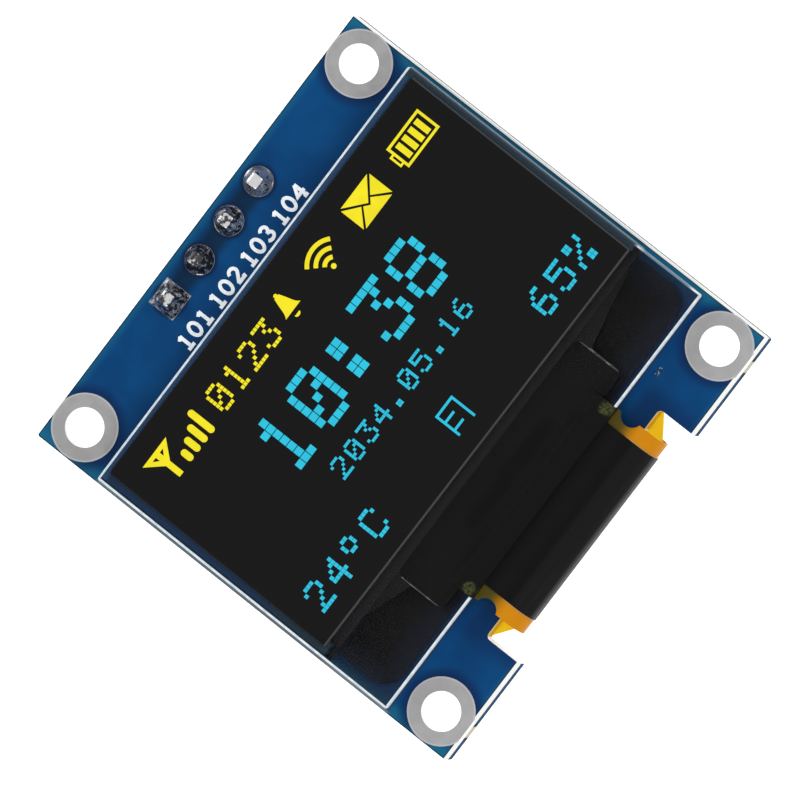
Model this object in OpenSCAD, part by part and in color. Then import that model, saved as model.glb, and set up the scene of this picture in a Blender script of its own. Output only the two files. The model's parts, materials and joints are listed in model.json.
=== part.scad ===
// A small OLED display module: a glass panel on a blue board, with its folded flex and a four-pin header.
// The board lies flat. +Z comes out of the screen, +Y points to the header edge, and the origin is the
// centre of the four mounting holes, on the board's rear face.

/* [Board] */
// Width of the board, side to side
board_w = 27.3; // [26.9:0.1:30]
// Height of the board, header edge to flex edge
board_h = 27.3; // [27:0.1:31]
// Thickness of the board
board_t = 1.2; // [0.8:0.1:1.6]
// Radius of the board's outer corners
board_corner_r = 0.12; // [0.05:0.01:0.6]
// Width of the notch that the flex folds through
notch_w = 14.75; // [14:0.05:16]
// Depth of the notch
notch_d = 2.25; // [1.9:0.05:2.6]
// Radius in the notch's inner corners
notch_corner_r = 0.25; // [0.1:0.05:0.6]
// Thickness of the tinned copper on every land and in every plated hole
plating_t = 0.05; // [0.03:0.01:0.08]

/* [Mounting holes] */
// Distance of a hole's centre from the board's left or right edge
hole_edge_x = 1.85; // [1.7:0.01:2]
// Distance of a hole's centre from the board's header edge or flex edge
hole_edge_y = 1.75; // [1.7:0.01:2]
// Finished diameter of a mounting hole
hole_d = 2.1; // [1.7:0.05:2.4]
// Outer diameter of the tinned ring around a mounting hole
ring_od = 3.6; // [3:0.1:3.8]

/* [Header] */
// Number of header pins
pin_count = 4; // [2:1:7]
// Distance between header pins
pin_pitch = 2.54; // [2.3:0.02:2.8]
// Side of a square header pin
pin_side = 0.64; // [0.4:0.02:0.66]
// Distance of the header's centre line from the board's edge
header_edge = 1.26; // [1.25:0.01:2]
// Height of a pin's tip above the board's front face
pin_front = 0.95; // [0.85:0.05:1.8]
// Overall length of a pin
pin_l = 10.7; // [7:0.1:18]
// Length of the tapered tip of a pin
pin_taper = 0.25; // [0.1:0.05:0.5]
// Side of the flat end of that tip
pin_tip = 0.36; // [0.2:0.02:0.38]
// Depth of the header's plastic body, board to free face
header_body_t = 2.54; // [2:0.02:3]
// Width of the header's plastic body across the pin row
header_body_w = 2.48; // [2.2:0.02:2.5]
// Size of the V cut between two pins in the header's body
header_vee = 0.42; // [0.1:0.02:0.6]
// Depth of the channel in the header's body that clears the lands
header_channel_d = 0.3; // [0.1:0.05:0.6]
// Gap between a pin's corner and the wall of its plated hole
pin_gap = 0.05; // [0.02:0.01:0.12]
// Diameter of a header land, and the side of the square first one
land_d = 1.6; // [1.4:0.02:1.8]
// Height of a soldered joint above its land
joint_h = 0.72; // [0.4:0.02:0.78]
// Height of a joint's rim, where its solder covers the land
joint_rim = 0.08; // [0.04:0.01:0.2]

/* [Display panel] */
// Distance of the glass from the board's left and right edges
glass_side = 0.3; // [0.15:0.05:0.6]
// Distance of the front glass from the board's header edge
glass_top = 4.17; // [3.9:0.01:4.4]
// Distance of the front glass from the notch's edge
glass_foot = 1.62; // [1.4:0.01:1.9]
// Shift of the panel to the side of the board's centre
glass_shift = 0.05; // [-0.1:0.05:0.1]
// Thickness of the front glass
front_glass_t = 0.7; // [0.5:0.05:1.1]
// Chamfer ground on the edges of the front glass
glass_chamfer = 0.1; // [0.02:0.02:0.2]
// Height of the ledge that the rear cap glass leaves free
ledge_h = 3.96; // [3.6:0.02:4.4]
// Thickness of the rear cap glass
cap_t = 0.5; // [0.45:0.05:0.8]
// Depth of the pocket inside the cap glass
cap_pocket_d = 0.2; // [0.1:0.02:0.3]
// Thickness of the glue that seals the two glasses
seal_t = 0.05; // [0.03:0.01:0.1]
// Width of that glue around the panel's edge
seal_w = 1; // [0.6:0.05:1.05]
// Thickness of the black foam pad that holds the panel on the board
foam_t = 0.25; // [0.15:0.05:0.5]
// Distance of the foam pad from the edges of the glass
foam_inset = 0.55; // [0.4:0.05:1]
// Radius of the foam pad's corners
foam_corner_r = 1.3; // [0.4:0.1:2.5]
// Distance of the light-emitting area from the glass's left edge
active_left = 1.78; // [1.4:0.02:2.2]
// Distance of the light-emitting area from the glass's right edge
active_right = 1.32; // [1.2:0.02:2.2]
// Distance of the light-emitting area from the glass's top edge
active_top = 1.33; // [1.2:0.01:2]
// Distance of the light-emitting area from the ledge
active_foot = 1.57; // [1.2:0.01:2.2]
// Thickness of the light-emitting layer
emitter_t = 0.03; // [0.01:0.01:0.08]
// Distance of the polarizer from the glass's left edge
polarizer_left = 0.6; // [0.15:0.05:1]
// Distance of the polarizer from the glass's right edge
polarizer_right = 0.2; // [0.15:0.05:0.8]
// Distance of the polarizer from the glass's top edge
polarizer_top = 0.35; // [0.15:0.05:0.8]
// Distance of the polarizer from the ledge
polarizer_foot = 0.48; // [0.2:0.01:0.8]
// Thickness of the polarizer
polarizer_t = 0.2; // [0.1:0.02:0.3]
// Radius of the polarizer's corners
polarizer_corner_r = 0.15; // [0.05:0.05:0.6]
// Length of the driver chip on the glass ledge
chip_l = 6.8; // [5:0.1:9]
// Width of the driver chip
chip_w = 0.9; // [0.6:0.05:1.4]
// Thickness of the driver chip
chip_t = 0.3; // [0.2:0.02:0.36]
// Width of the black cover over the driver chip
cover_w = 15.27; // [12.5:0.05:18]
// Thickness of that cover, glass to free face
cover_t = 0.42; // [0.4:0.01:0.44]
// Radius of the cover's corners
cover_corner_r = 0.5; // [0.1:0.05:1.2]

/* [Flex] */
// Width of the flex where it leaves the glass
flex_w = 12.2; // [11:0.05:13]
// Thickness of the flex
flex_t = 0.1; // [0.06:0.01:0.14]
// Overlap of the flex and the glass ledge, where it is bonded
bond_l = 0.85; // [0.6:0.05:1.4]
// Distance from the notch's edge to where the flex starts to bend
bend_gap = 0.35; // [0.15:0.05:0.6]
// Radius of the round cut in each side of the flex
scallop_r = 0.62; // [0.3:0.02:0.7]
// Depth of that cut
scallop_depth = 0.45; // [0.2:0.01:0.5]
// Distance of that cut's centre from the notch's edge
scallop_gap = 0.78; // [0.7:0.02:0.95]
// Distance of the flex's tail, on the rear of the board, from the board's left and right edges
tail_side = 3.85; // [3.7:0.05:4.4]
// Length of the tail from the notch's edge to its soldered end
tail_l = 4.4; // [3.6:0.1:6]
// Reach of the sloped shoulder past the notch's edge, where the flex starts to widen to its tail
shoulder_out = 0.9; // [0.5:0.05:1]
// Distance behind the notch's edge at which the tail has its full width
shoulder_in = 0.5; // [0.2:0.05:1]
// Bare flex on each side of the black tape
tape_side = 0.9; // [0.7:0.05:1.6]
// Thickness of the black tape
tape_t = 0.06; // [0.03:0.01:0.1]
// Length of the tape behind the bend
tape_tail = 1.2; // [0.4:0.1:2]
// Number of soldered contacts on the tail
contact_count = 30; // [20:1:30]
// Distance of the first contact's centre from the tail's side
contact_side = 0.81; // [0.4:0.01:1.2]
// Width of one soldered contact
contact_w = 0.4; // [0.3:0.01:0.5]
// Length of a contact on the tail
contact_lap = 1.2; // [0.6:0.1:1.6]
// Length of a contact past the tail's end, on the board
contact_past = 0.8; // [0.4:0.1:1.2]
// Height of one soldered contact above the board
contact_h = 0.24; // [0.18:0.01:0.4]

/* [Rear parts] */
// Distance of the rows' end places from the board's left and right edges
row_side = 4.45; // [3.8:0.05:5]
// Distance of the first row from the tail's end
first_row_gap = 3.4; // [2.8:0.1:4]
// Distance of the last row from the header's body
last_row_gap = 2.9; // [1.6:0.1:4]
// Length of a chip resistor or capacitor
passive_l = 1.6; // [1.4:0.05:1.8]
// Width of a chip resistor or capacitor
passive_w = 0.8; // [0.6:0.05:1]
// Thickness of a chip resistor
resistor_t = 0.45; // [0.3:0.05:0.6]
// Thickness of a chip capacitor
capacitor_t = 0.8; // [0.5:0.05:0.9]
// Length of a metal end on a resistor or capacitor
end_l = 0.3; // [0.2:0.02:0.4]
// Thickness of that metal
end_t = 0.03; // [0.02:0.01:0.06]
// Reach of the solder past a part's end
fillet_l = 0.32; // [0.2:0.02:0.4]
// Length of the regulator's body
regulator_l = 2.9; // [2.6:0.05:3.1]
// Width of the regulator's body
regulator_w = 1.3; // [1.2:0.05:1.6]
// Height of the regulator's body
regulator_t = 1; // [0.8:0.05:1.2]
// Distance between the regulator's two paired leads
regulator_pitch = 1.9; // [1.7:0.05:2.1]
// Length of the diode's body
diode_l = 1.7; // [1.5:0.05:1.9]
// Width of the diode's body
diode_w = 1.25; // [1:0.05:1.4]
// Height of the diode's body
diode_t = 0.85; // [0.7:0.05:1]
// Width of a bent lead
lead_w = 0.4; // [0.25:0.01:0.5]
// Thickness of a bent lead
lead_t = 0.12; // [0.08:0.01:0.16]
// Length that a bent lead reaches out of its body
lead_out = 0.55; // [0.45:0.01:0.7]
// Length of the flat foot at the end of a bent lead
foot_l = 0.3; // [0.2:0.02:0.38]
// Gap under the bodies that stand on bent leads
body_lift = 0.08; // [0.04:0.01:0.12]
// Draft of the sides of a moulded body
mould_draft = 0.08; // [0.02:0.01:0.12]

/* [Hidden] */
$fn = 64;
hair = 0.05;            // gap between pieces that lie side by side without touching
wetting = 0.02;         // width of the solder's upper rim around a pin's corners
past = 1;               // how far a cutting shape runs past what it cuts

notch_y = notch_d - board_h / 2;
header_y = board_h / 2 - header_edge;
land_r = land_d / 2;
pin_hole_d = pin_side * sqrt(2) + 2 * pin_gap;
pin_z = board_t + pin_front - pin_l;           // rear end of a pin

glass_w = board_w - 2 * glass_side;
glass_x0 = glass_shift - glass_w / 2;
glass_y0 = notch_y + glass_foot;
glass_y1 = board_h / 2 - glass_top;
cap_y0 = glass_y0 + ledge_h;
cap_h = glass_y1 - cap_y0;
bond_y = glass_y0 + bond_l;
cover_y0 = bond_y + hair;
cover_h = cap_y0 - hair - cover_y0;

foam_z = board_t + foam_t;
ledge_z = foam_z + cap_t + seal_t;             // rear face of the front glass
glass_z = ledge_z + front_glass_t;             // front face of the front glass

bend_y = notch_y - bend_gap;
bend_z = (ledge_z - flex_t) / 2;
bend_r = (ledge_z + flex_t) / 2;               // outer radius of the folded flex
tape_w = flex_w - 2 * tape_side;
tail_w = board_w - 2 * tail_side;
tail_y = notch_y + tail_l;
contact_pitch = (tail_w - 2 * contact_side) / (contact_count - 1);

// Rows of small parts behind the board, from the flex's tail to the header. A place in a row is counted
// in steps from the middle, and the end places are four steps out.
row_pitch = (board_w / 2 - row_side) / 4;
first_row_y = tail_y + first_row_gap;
last_row_y = header_y - header_body_w / 2 - last_row_gap;
middle_row_y = (first_row_y + last_row_y) / 2;
regulator_step = 3.5;
diode_step = -3.2;
output_capacitor_step = 1.8;                   // beside the regulator
input_capacitor_step = 3.7;                    // beside the header
pull_up_steps = [-3.7, -2.3];                  // the two resistors beside the header
function upright(step, y) = [step * row_pitch, y, 90];
function flat(step, y) = [step * row_pitch, y, 0];
CAPACITORS = concat([for (step = [-4:0]) upright(step, first_row_y)],
                    [upright(output_capacitor_step, middle_row_y), flat(input_capacitor_step, last_row_y)]);
RESISTORS = concat([for (step = [1:3]) upright(step, first_row_y)],
                   [for (step = [-1.4:1:0.6]) upright(step, middle_row_y)],
                   [for (step = pull_up_steps) flat(step, last_row_y)]);
REGULATOR_AT = flat(regulator_step, middle_row_y);
DIODE_AT = flat(diode_step, middle_row_y);

// Names of like nodes, such as resistor_1 to resistor_8
function numbered(name, count) = [for (i = [1:count]) str(name, "_", i)];
// Place of a header pin, counted from 1 at the square land
function pin_x(i) = (i - (pin_count + 1) / 2) * pin_pitch;
// Sides of a mounting hole, counted from 1: left or right, and header edge or flex edge
function hole_at(i) = [(i % 2 == 1 ? -1 : 1) * (board_w / 2 - hole_edge_x),
                       (i <= 2 ? 1 : -1) * (board_h / 2 - hole_edge_y)];

// A flat rectangle from its low corner, with round corners
module rounded(size, r) {
    translate([r, 0]) square([size[0] - 2 * r, size[1]]);
    translate([0, r]) square([size[0], size[1] - 2 * r]);
    for (x = [r, size[0] - r], y = [r, size[1] - r]) translate([x, y]) circle(r);
}

// Turns its children over onto the rear of the board
module on_rear(at) {
    translate([at[0], at[1], 0]) mirror([0, 0, 1]) rotate(at[2]) children();
}

// A box centred on its foot, with all four sides leaning in towards the top and the bottom
module drafted_box(l, w, t, draft) {
    intersection() {
        rotate([90, 0, 0]) translate([0, 0, -w / 2]) linear_extrude(w) barrel_profile(l, t, draft);
        rotate([90, 0, 90]) translate([0, 0, -l / 2]) linear_extrude(l) barrel_profile(w, t, draft);
    }
}

// The six-sided section of a moulded body, widest at half its height
module barrel_profile(w, t, draft) {
    polygon([[draft - w / 2, 0], [w / 2 - draft, 0], [w / 2, t / 2], [w / 2 - draft, t],
             [draft - w / 2, t], [-w / 2, t / 2]]);
}

// The board's outline, with the notch that the flex folds through
module board_outline() {
    difference() {
        translate([-board_w / 2, -board_h / 2]) rounded([board_w, board_h], board_corner_r);
        translate([-notch_w / 2, notch_y - notch_d - past])
            rounded([notch_w, notch_d + past], notch_corner_r);
    }
}

module pcb() {
    color([0.05, 0.28, 0.5]) difference() {
        linear_extrude(board_t) board_outline();
        for (i = [1:4]) translate(hole_at(i)) through_hole(hole_d / 2 + plating_t);
        for (i = [1:pin_count]) translate([pin_x(i), header_y]) through_hole(pin_hole_d / 2 + plating_t);
    }
}

// A cutter for a round hole right through the board and its lands
module through_hole(r) {
    translate([0, 0, -past]) cylinder(r = r, h = board_t + 2 * past);
}

// A plated hole: a land on each face of the board, joined by the lining of the hole
module plated_hole(hole_r) {
    difference() {
        union() {
            translate([0, 0, board_t]) linear_extrude(plating_t) children();
            translate([0, 0, -plating_t]) linear_extrude(plating_t) children();
            cylinder(r = hole_r + plating_t, h = board_t);
        }
        through_hole(hole_r);
    }
}

module mount_ring(i) {
    color([0.66, 0.66, 0.66]) translate(hole_at(i)) plated_hole(hole_d / 2) intersection() {
        circle(d = ring_od);
        translate(-hole_at(i)) board_outline();
    }
}

// The first land is square, as it is on a board that marks its first pin
module land(i) {
    if (i == 1) square(land_d, center = true); else circle(land_r);
}

module header_pad(i) {
    color([0.7, 0.7, 0.68]) translate([pin_x(i), header_y]) plated_hole(pin_hole_d / 2) land(i);
}

// Solder that curves up from the rim of a land to the pin's corners, turned about the pin's axis
module meniscus() {
    top_r = pin_side / sqrt(2) + wetting;
    reach = land_r - top_r;
    rise = joint_h - joint_rim;
    chord = norm([reach, rise]);
    curve_r = 2.2 * chord;
    sag = sqrt(curve_r * curve_r - chord * chord / 4);
    rotate_extrude() difference() {
        square([land_r, joint_h]);
        translate([land_r - reach / 2 + sag * rise / chord, joint_rim + rise / 2 + sag * reach / chord])
            circle(curve_r);
    }
}

// A soldered joint: the filled hole, a thin layer over the land and the meniscus around the pin
module solder_joint(i) {
    color([0.75, 0.75, 0.74]) difference() {
        translate([pin_x(i), header_y]) {
            cylinder(d = pin_hole_d, h = board_t + plating_t);
            translate([0, 0, board_t + plating_t]) {
                linear_extrude(joint_rim) land(i);
                meniscus();
            }
        }
        pin_shape(i);
    }
}

// A square pin with a tapered tip at both ends
module pin_shape(i) {
    translate([pin_x(i), header_y, pin_z]) intersection() {
        rotate([90, 0, 0]) translate([0, 0, -pin_side / 2]) linear_extrude(pin_side) pin_profile();
        rotate([90, 0, 90]) translate([0, 0, -pin_side / 2]) linear_extrude(pin_side) pin_profile();
    }
}

module pin_profile() {
    side = pin_side / 2;
    tip = pin_tip / 2;
    polygon([[-tip, 0], [tip, 0], [side, pin_taper], [side, pin_l - pin_taper], [tip, pin_l],
             [-tip, pin_l], [-side, pin_l - pin_taper], [-side, pin_taper]]);
}

module header_pin(i) {
    color([0.8, 0.78, 0.7]) pin_shape(i);
}

// The plastic strip behind the board, with a V cut between the pins and a channel over the lands
module header_body() {
    half = header_body_w / 2;
    length = pin_count * pin_pitch;
    color([0.08, 0.08, 0.08]) translate([0, header_y, -header_body_t]) difference() {
        linear_extrude(header_body_t) difference() {
            square([length, header_body_w], center = true);
            for (i = [0:pin_count], side = [-1, 1])
                translate([i * pin_pitch - length / 2, side * half]) rotate(45)
                    square(header_vee * sqrt(2), center = true);
        }
        translate([-length / 2 - past, -land_r - hair, header_body_t - header_channel_d])
            cube([length + 2 * past, land_d + 2 * hair, header_channel_d + past]);
        for (i = [1:pin_count]) translate([pin_x(i) - pin_side / 2, -pin_side / 2, -past])
            cube([pin_side, pin_side, header_body_t + 2 * past]);
    }
}

module foam_pad() {
    color([0.07, 0.07, 0.08]) translate([glass_x0 + foam_inset, glass_y0 + foam_inset, board_t])
        linear_extrude(foam_t)
            rounded([glass_w - 2 * foam_inset, glass_y1 - glass_y0 - 2 * foam_inset], foam_corner_r);
}

// The rear glass, with the shallow pocket that faces the light-emitting layer
module cap_glass() {
    color([0.35, 0.38, 0.4]) translate([glass_x0, cap_y0, foam_z]) difference() {
        cube([glass_w, cap_h, cap_t]);
        translate([seal_w, seal_w, cap_t - cap_pocket_d])
            cube([glass_w - 2 * seal_w, cap_h - 2 * seal_w, cap_pocket_d + past]);
    }
}

module edge_seal() {
    color([0.85, 0.85, 0.8]) translate([glass_x0, cap_y0, foam_z + cap_t]) linear_extrude(seal_t)
        difference() {
            square([glass_w, cap_h]);
            translate([seal_w, seal_w]) square([glass_w - 2 * seal_w, cap_h - 2 * seal_w]);
        }
}

module emitter_layer() {
    color([0.1, 0.1, 0.12]) translate([glass_x0 + active_left, cap_y0 + active_foot, ledge_z - emitter_t])
        cube([glass_w - active_left - active_right, cap_h - active_foot - active_top, emitter_t]);
}

// The front glass, with a ground chamfer on every edge
module substrate_glass() {
    glass_h = glass_y1 - glass_y0;
    color([0.6, 0.7, 0.75]) translate([glass_shift, (glass_y0 + glass_y1) / 2, ledge_z]) intersection() {
        rotate([90, 0, 0]) translate([0, 0, -glass_h / 2]) linear_extrude(glass_h)
            chamfered_profile(glass_w);
        rotate([90, 0, 90]) translate([0, 0, -glass_w / 2]) linear_extrude(glass_w)
            chamfered_profile(glass_h);
    }
}

module chamfered_profile(w) {
    c = glass_chamfer;
    t = front_glass_t;
    polygon([[c - w / 2, 0], [w / 2 - c, 0], [w / 2, c], [w / 2, t - c], [w / 2 - c, t],
             [c - w / 2, t], [-w / 2, t - c], [-w / 2, c]]);
}

module polarizer() {
    size = [glass_w - polarizer_left - polarizer_right, cap_h - polarizer_foot - polarizer_top];
    color([0.06, 0.06, 0.07]) translate([glass_x0 + polarizer_left, cap_y0 + polarizer_foot, glass_z])
        linear_extrude(polarizer_t) rounded(size, polarizer_corner_r);
}

// The space of the bare driver chip, bonded behind the middle of the glass ledge
module chip_block(h) {
    translate([glass_shift - chip_l / 2, cover_y0 + (cover_h - chip_w) / 2, ledge_z - chip_t])
        cube([chip_l, chip_w, h]);
}

module driver_chip() {
    color([0.12, 0.12, 0.14]) chip_block(chip_t);
}

// The black cover that shades the chip, with a pocket that fits it
module chip_cover() {
    color([0.05, 0.05, 0.05]) difference() {
        translate([glass_shift - cover_w / 2, cover_y0, ledge_z - cover_t]) linear_extrude(cover_t)
            rounded([cover_w, cover_h], cover_corner_r);
        chip_block(chip_t + past);
    }
}

// Half a tube around the bend's axis, on the side away from the board
module bend_shell(w, t, r) {
    translate([glass_shift - w / 2, bend_y, bend_z]) rotate([90, 0, 90]) linear_extrude(w)
        difference() {
            circle(r);
            circle(r - t);
            translate([0, -r - past]) square([r + past, 2 * (r + past)]);
        }
}

module flex() {
    shoulder_y = notch_y - shoulder_out;
    color([0.85, 0.55, 0.08]) {
        // the narrow stretch from the glass, with a round cut in each side, and the front half of the bend
        difference() {
            translate([glass_shift - flex_w / 2, bend_y, ledge_z - flex_t])
                cube([flex_w, bond_y - bend_y, flex_t]);
            for (side = [-1, 1])
                translate([glass_shift + side * (flex_w / 2 + scallop_r - scallop_depth),
                           notch_y + scallop_gap, 0]) cylinder(r = scallop_r, h = ledge_z + past);
        }
        bend_shell(flex_w, flex_t, bend_r);
        // the tail, with a shoulder on each side where it passes the notch's edge
        intersection() {
            union() {
                bend_shell(tail_w, flex_t, bend_r);
                translate([glass_shift - tail_w / 2, bend_y, -flex_t])
                    cube([tail_w, tail_y - bend_y, flex_t]);
            }
            translate([glass_shift, 0, -flex_t - past]) linear_extrude(bend_z + flex_t + past)
                tail_outline(shoulder_y);
        }
    }
}

// The tail seen flat: as wide as the flex below the notch, sloping out to its full width behind the board
module tail_outline(shoulder_y) {
    step_x = notch_w / 2 - hair;
    wide_y = notch_y + shoulder_in;
    polygon([[-flex_w / 2, bend_y - bend_r - past], [flex_w / 2, bend_y - bend_r - past],
             [flex_w / 2, shoulder_y], [step_x, notch_y], [tail_w / 2, wide_y], [tail_w / 2, tail_y],
             [-tail_w / 2, tail_y], [-tail_w / 2, wide_y], [-step_x, notch_y], [-flex_w / 2, shoulder_y]]);
}

module flex_tape() {
    y_front = glass_y0 - hair;
    color([0.06, 0.06, 0.06]) {
        translate([glass_shift - tape_w / 2, bend_y, ledge_z]) cube([tape_w, y_front - bend_y, tape_t]);
        bend_shell(tape_w, tape_t, bend_r + tape_t);
        translate([glass_shift - tape_w / 2, bend_y, -flex_t - tape_t]) cube([tape_w, tape_tail, tape_t]);
    }
}

// The row of low solder mounds that joins the tail to the board
module flex_solder() {
    mound_r = (contact_w * contact_w / 4 + contact_h * contact_h) / (2 * contact_h);
    color([0.78, 0.78, 0.76]) difference() {
        for (i = [0:contact_count - 1])
            translate([glass_shift - tail_w / 2 + contact_side + i * contact_pitch, tail_y + contact_past, 0])
                rotate([90, 0, 0]) linear_extrude(contact_lap + contact_past) intersection() {
                    translate([0, mound_r - contact_h]) circle(mound_r);
                    translate([-contact_w / 2, -contact_h]) square([contact_w, contact_h]);
                }
        translate([glass_shift - tail_w / 2, tail_y - contact_lap - past, -flex_t])
            cube([tail_w, contact_lap + past, flex_t + past]);
    }
}

// The ceramic body of a chip resistor or capacitor, lifted by the metal of its land and its ends
module passive_body(t) {
    translate([-passive_l / 2, -passive_w / 2, plating_t + end_t]) cube([passive_l, passive_w, t]);
}

// The two metal caps that wrap the ends of a chip resistor or capacitor
module passive_ends(t) {
    difference() {
        for (side = [-1, 1]) translate([side * (passive_l / 2 + end_t - end_l / 2), 0, plating_t])
            translate([-end_l / 2, -passive_w / 2 - end_t, 0])
                cube([end_l, passive_w + 2 * end_t, t + 2 * end_t]);
        passive_body(t);
    }
}

// A land with the curved fillet of solder that rises on a part's end, which faces -X at the origin
module solder_fillet(w, reach, under, h) {
    translate([0, w / 2, 0]) rotate([90, 0, 0]) linear_extrude(w) {
        translate([-reach, 0]) square([reach + under, plating_t]);
        translate([-reach, plating_t]) difference() {
            square([reach, h]);
            translate([0, h]) scale([1, h / reach]) circle(reach);
        }
    }
}

// A bent lead that leaves a body's side at the origin, towards +X, and stands on its land
module bent_lead(out, h) {
    knee = out - foot_l;
    translate([0, lead_w / 2, 0]) rotate([90, 0, 0]) linear_extrude(lead_w)
        polygon([[0, h - lead_t / 2], [knee - lead_t / 2, h - lead_t / 2], [knee, plating_t],
                 [out, plating_t], [out, plating_t + lead_t], [knee + lead_t, plating_t + lead_t],
                 [knee + lead_t / 2, h + lead_t / 2], [0, h + lead_t / 2]]);
}

module resistor(i) {
    color([0.1, 0.1, 0.1]) on_rear(RESISTORS[i - 1]) passive_body(resistor_t);
}

module capacitor(i) {
    color([0.62, 0.5, 0.36]) on_rear(CAPACITORS[i - 1]) passive_body(capacitor_t);
}

module resistor_ends() {
    color([0.8, 0.8, 0.8]) for (at = RESISTORS) on_rear(at) passive_ends(resistor_t);
}

module capacitor_ends() {
    color([0.8, 0.8, 0.8]) for (at = CAPACITORS) on_rear(at) passive_ends(capacitor_t);
}

// A moulded body that stands on bent leads, lifted clear of the board
module moulded_body(l, w, t) {
    translate([0, 0, plating_t + body_lift]) drafted_box(l, w, t, mould_draft);
}

// Where the regulator's three leads leave its body, and which way each one points
function regulator_leads_at() = [[-regulator_pitch / 2, -1], [regulator_pitch / 2, -1], [0, 1]];

module regulator_body() {
    color([0.09, 0.09, 0.1]) on_rear(REGULATOR_AT) moulded_body(regulator_l, regulator_w, regulator_t);
}

module regulator_leads() {
    h = plating_t + body_lift + regulator_t / 2;
    color([0.8, 0.8, 0.8]) on_rear(REGULATOR_AT) difference() {
        for (lead = regulator_leads_at()) translate([lead[0], 0, 0]) rotate(lead[1] * 90)
            translate([regulator_w / 2 - mould_draft, 0, 0]) bent_lead(lead_out + mould_draft, h);
        moulded_body(regulator_l, regulator_w, regulator_t);
    }
}

module diode_body() {
    color([0.09, 0.09, 0.1]) on_rear(DIODE_AT) moulded_body(diode_l, diode_w, diode_t);
}

module diode_leads() {
    h = plating_t + body_lift + diode_t / 2;
    color([0.8, 0.8, 0.8]) on_rear(DIODE_AT) difference() {
        for (turn = [0, 180]) rotate(turn) translate([diode_l / 2 - mould_draft, 0, 0])
            bent_lead(lead_out + mould_draft, h);
        moulded_body(diode_l, diode_w, diode_t);
    }
}

// Every land and fillet behind the board, apart from the flex's own row
module rear_solder() {
    cap_end = passive_l / 2 + end_t;
    color([0.76, 0.76, 0.75]) {
        for (at = concat(RESISTORS, CAPACITORS), turn = [0, 180]) on_rear(at) rotate(turn)
            translate([-cap_end, 0, 0]) solder_fillet(passive_w, fillet_l, end_l, resistor_t / 2);
        for (lead = regulator_leads_at()) on_rear(REGULATOR_AT) translate([lead[0], 0, 0])
            rotate(lead[1] * 90 + 180) translate([-regulator_w / 2 - lead_out, 0, 0])
                solder_fillet(lead_w, fillet_l, foot_l, lead_t);
        for (turn = [0, 180]) on_rear(DIODE_AT) rotate(turn) translate([-diode_l / 2 - lead_out, 0, 0])
            solder_fillet(lead_w, fillet_l, foot_l, lead_t);
    }
}

pcb();
for (i = [1:4]) mount_ring(i);
for (i = [1:pin_count]) header_pad(i);
for (i = [1:pin_count]) solder_joint(i);
for (i = [1:pin_count]) header_pin(i);
header_body();
foam_pad();
cap_glass();
edge_seal();
emitter_layer();
substrate_glass();
polarizer();
driver_chip();
chip_cover();
flex();
flex_tape();
flex_solder();
for (i = [1:len(RESISTORS)]) resistor(i);
for (i = [1:len(CAPACITORS)]) capacitor(i);
resistor_ends();
capacitor_ends();
regulator_body();
regulator_leads();
diode_body();
diode_leads();
rear_solder();
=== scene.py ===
"""A small OLED display module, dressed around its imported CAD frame.

The file is laid out as an add-on: sizes and colours are properties, and one operator makes each group of
pieces. Working sizes are in millimetres in the frame of the CAD; meshes are written in metres.
"""

import json
import math
from functools import partialmethod

import bpy
import numpy as np
from mathutils import Matrix, Vector


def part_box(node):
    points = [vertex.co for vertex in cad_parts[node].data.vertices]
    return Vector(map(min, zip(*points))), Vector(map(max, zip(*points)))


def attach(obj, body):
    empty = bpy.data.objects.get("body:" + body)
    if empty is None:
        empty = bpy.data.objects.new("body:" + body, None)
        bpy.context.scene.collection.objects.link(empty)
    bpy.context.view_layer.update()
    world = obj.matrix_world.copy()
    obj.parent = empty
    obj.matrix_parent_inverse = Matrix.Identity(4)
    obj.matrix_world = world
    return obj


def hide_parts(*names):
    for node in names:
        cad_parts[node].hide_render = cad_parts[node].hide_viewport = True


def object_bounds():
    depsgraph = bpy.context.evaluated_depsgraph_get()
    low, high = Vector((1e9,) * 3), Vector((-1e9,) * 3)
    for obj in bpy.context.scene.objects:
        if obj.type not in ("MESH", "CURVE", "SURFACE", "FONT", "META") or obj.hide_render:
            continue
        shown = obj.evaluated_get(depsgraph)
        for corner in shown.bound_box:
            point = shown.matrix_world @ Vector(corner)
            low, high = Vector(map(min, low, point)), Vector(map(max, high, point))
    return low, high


bl_info = {
    "name": "Small OLED display module",
    "version": (1, 0, 0),
    "blender": (4, 5, 0),
    "location": "3D View > Sidebar > Display",
    "description": "Finishes the parts of a small OLED module and sets the stage for it",
    "category": "Add Mesh",
}

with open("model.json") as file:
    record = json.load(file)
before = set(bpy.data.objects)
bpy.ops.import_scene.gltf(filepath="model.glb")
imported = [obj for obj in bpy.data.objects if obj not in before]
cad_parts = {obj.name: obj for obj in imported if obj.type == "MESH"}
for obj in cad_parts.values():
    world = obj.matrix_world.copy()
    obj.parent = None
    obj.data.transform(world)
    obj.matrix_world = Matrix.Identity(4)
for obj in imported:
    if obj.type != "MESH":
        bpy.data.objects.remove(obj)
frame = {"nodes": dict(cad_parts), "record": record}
CAD_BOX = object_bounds()
MM = 0.001


def box_of(node):
    """Lowest and highest corner of a CAD node, in millimetres."""
    low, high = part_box(node)
    return np.array(low) / MM, np.array(high) / MM


def like(stem, count):
    """Names of a row of like CAD nodes."""
    return [f"{stem}_{i + 1}" for i in range(count)]


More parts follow.
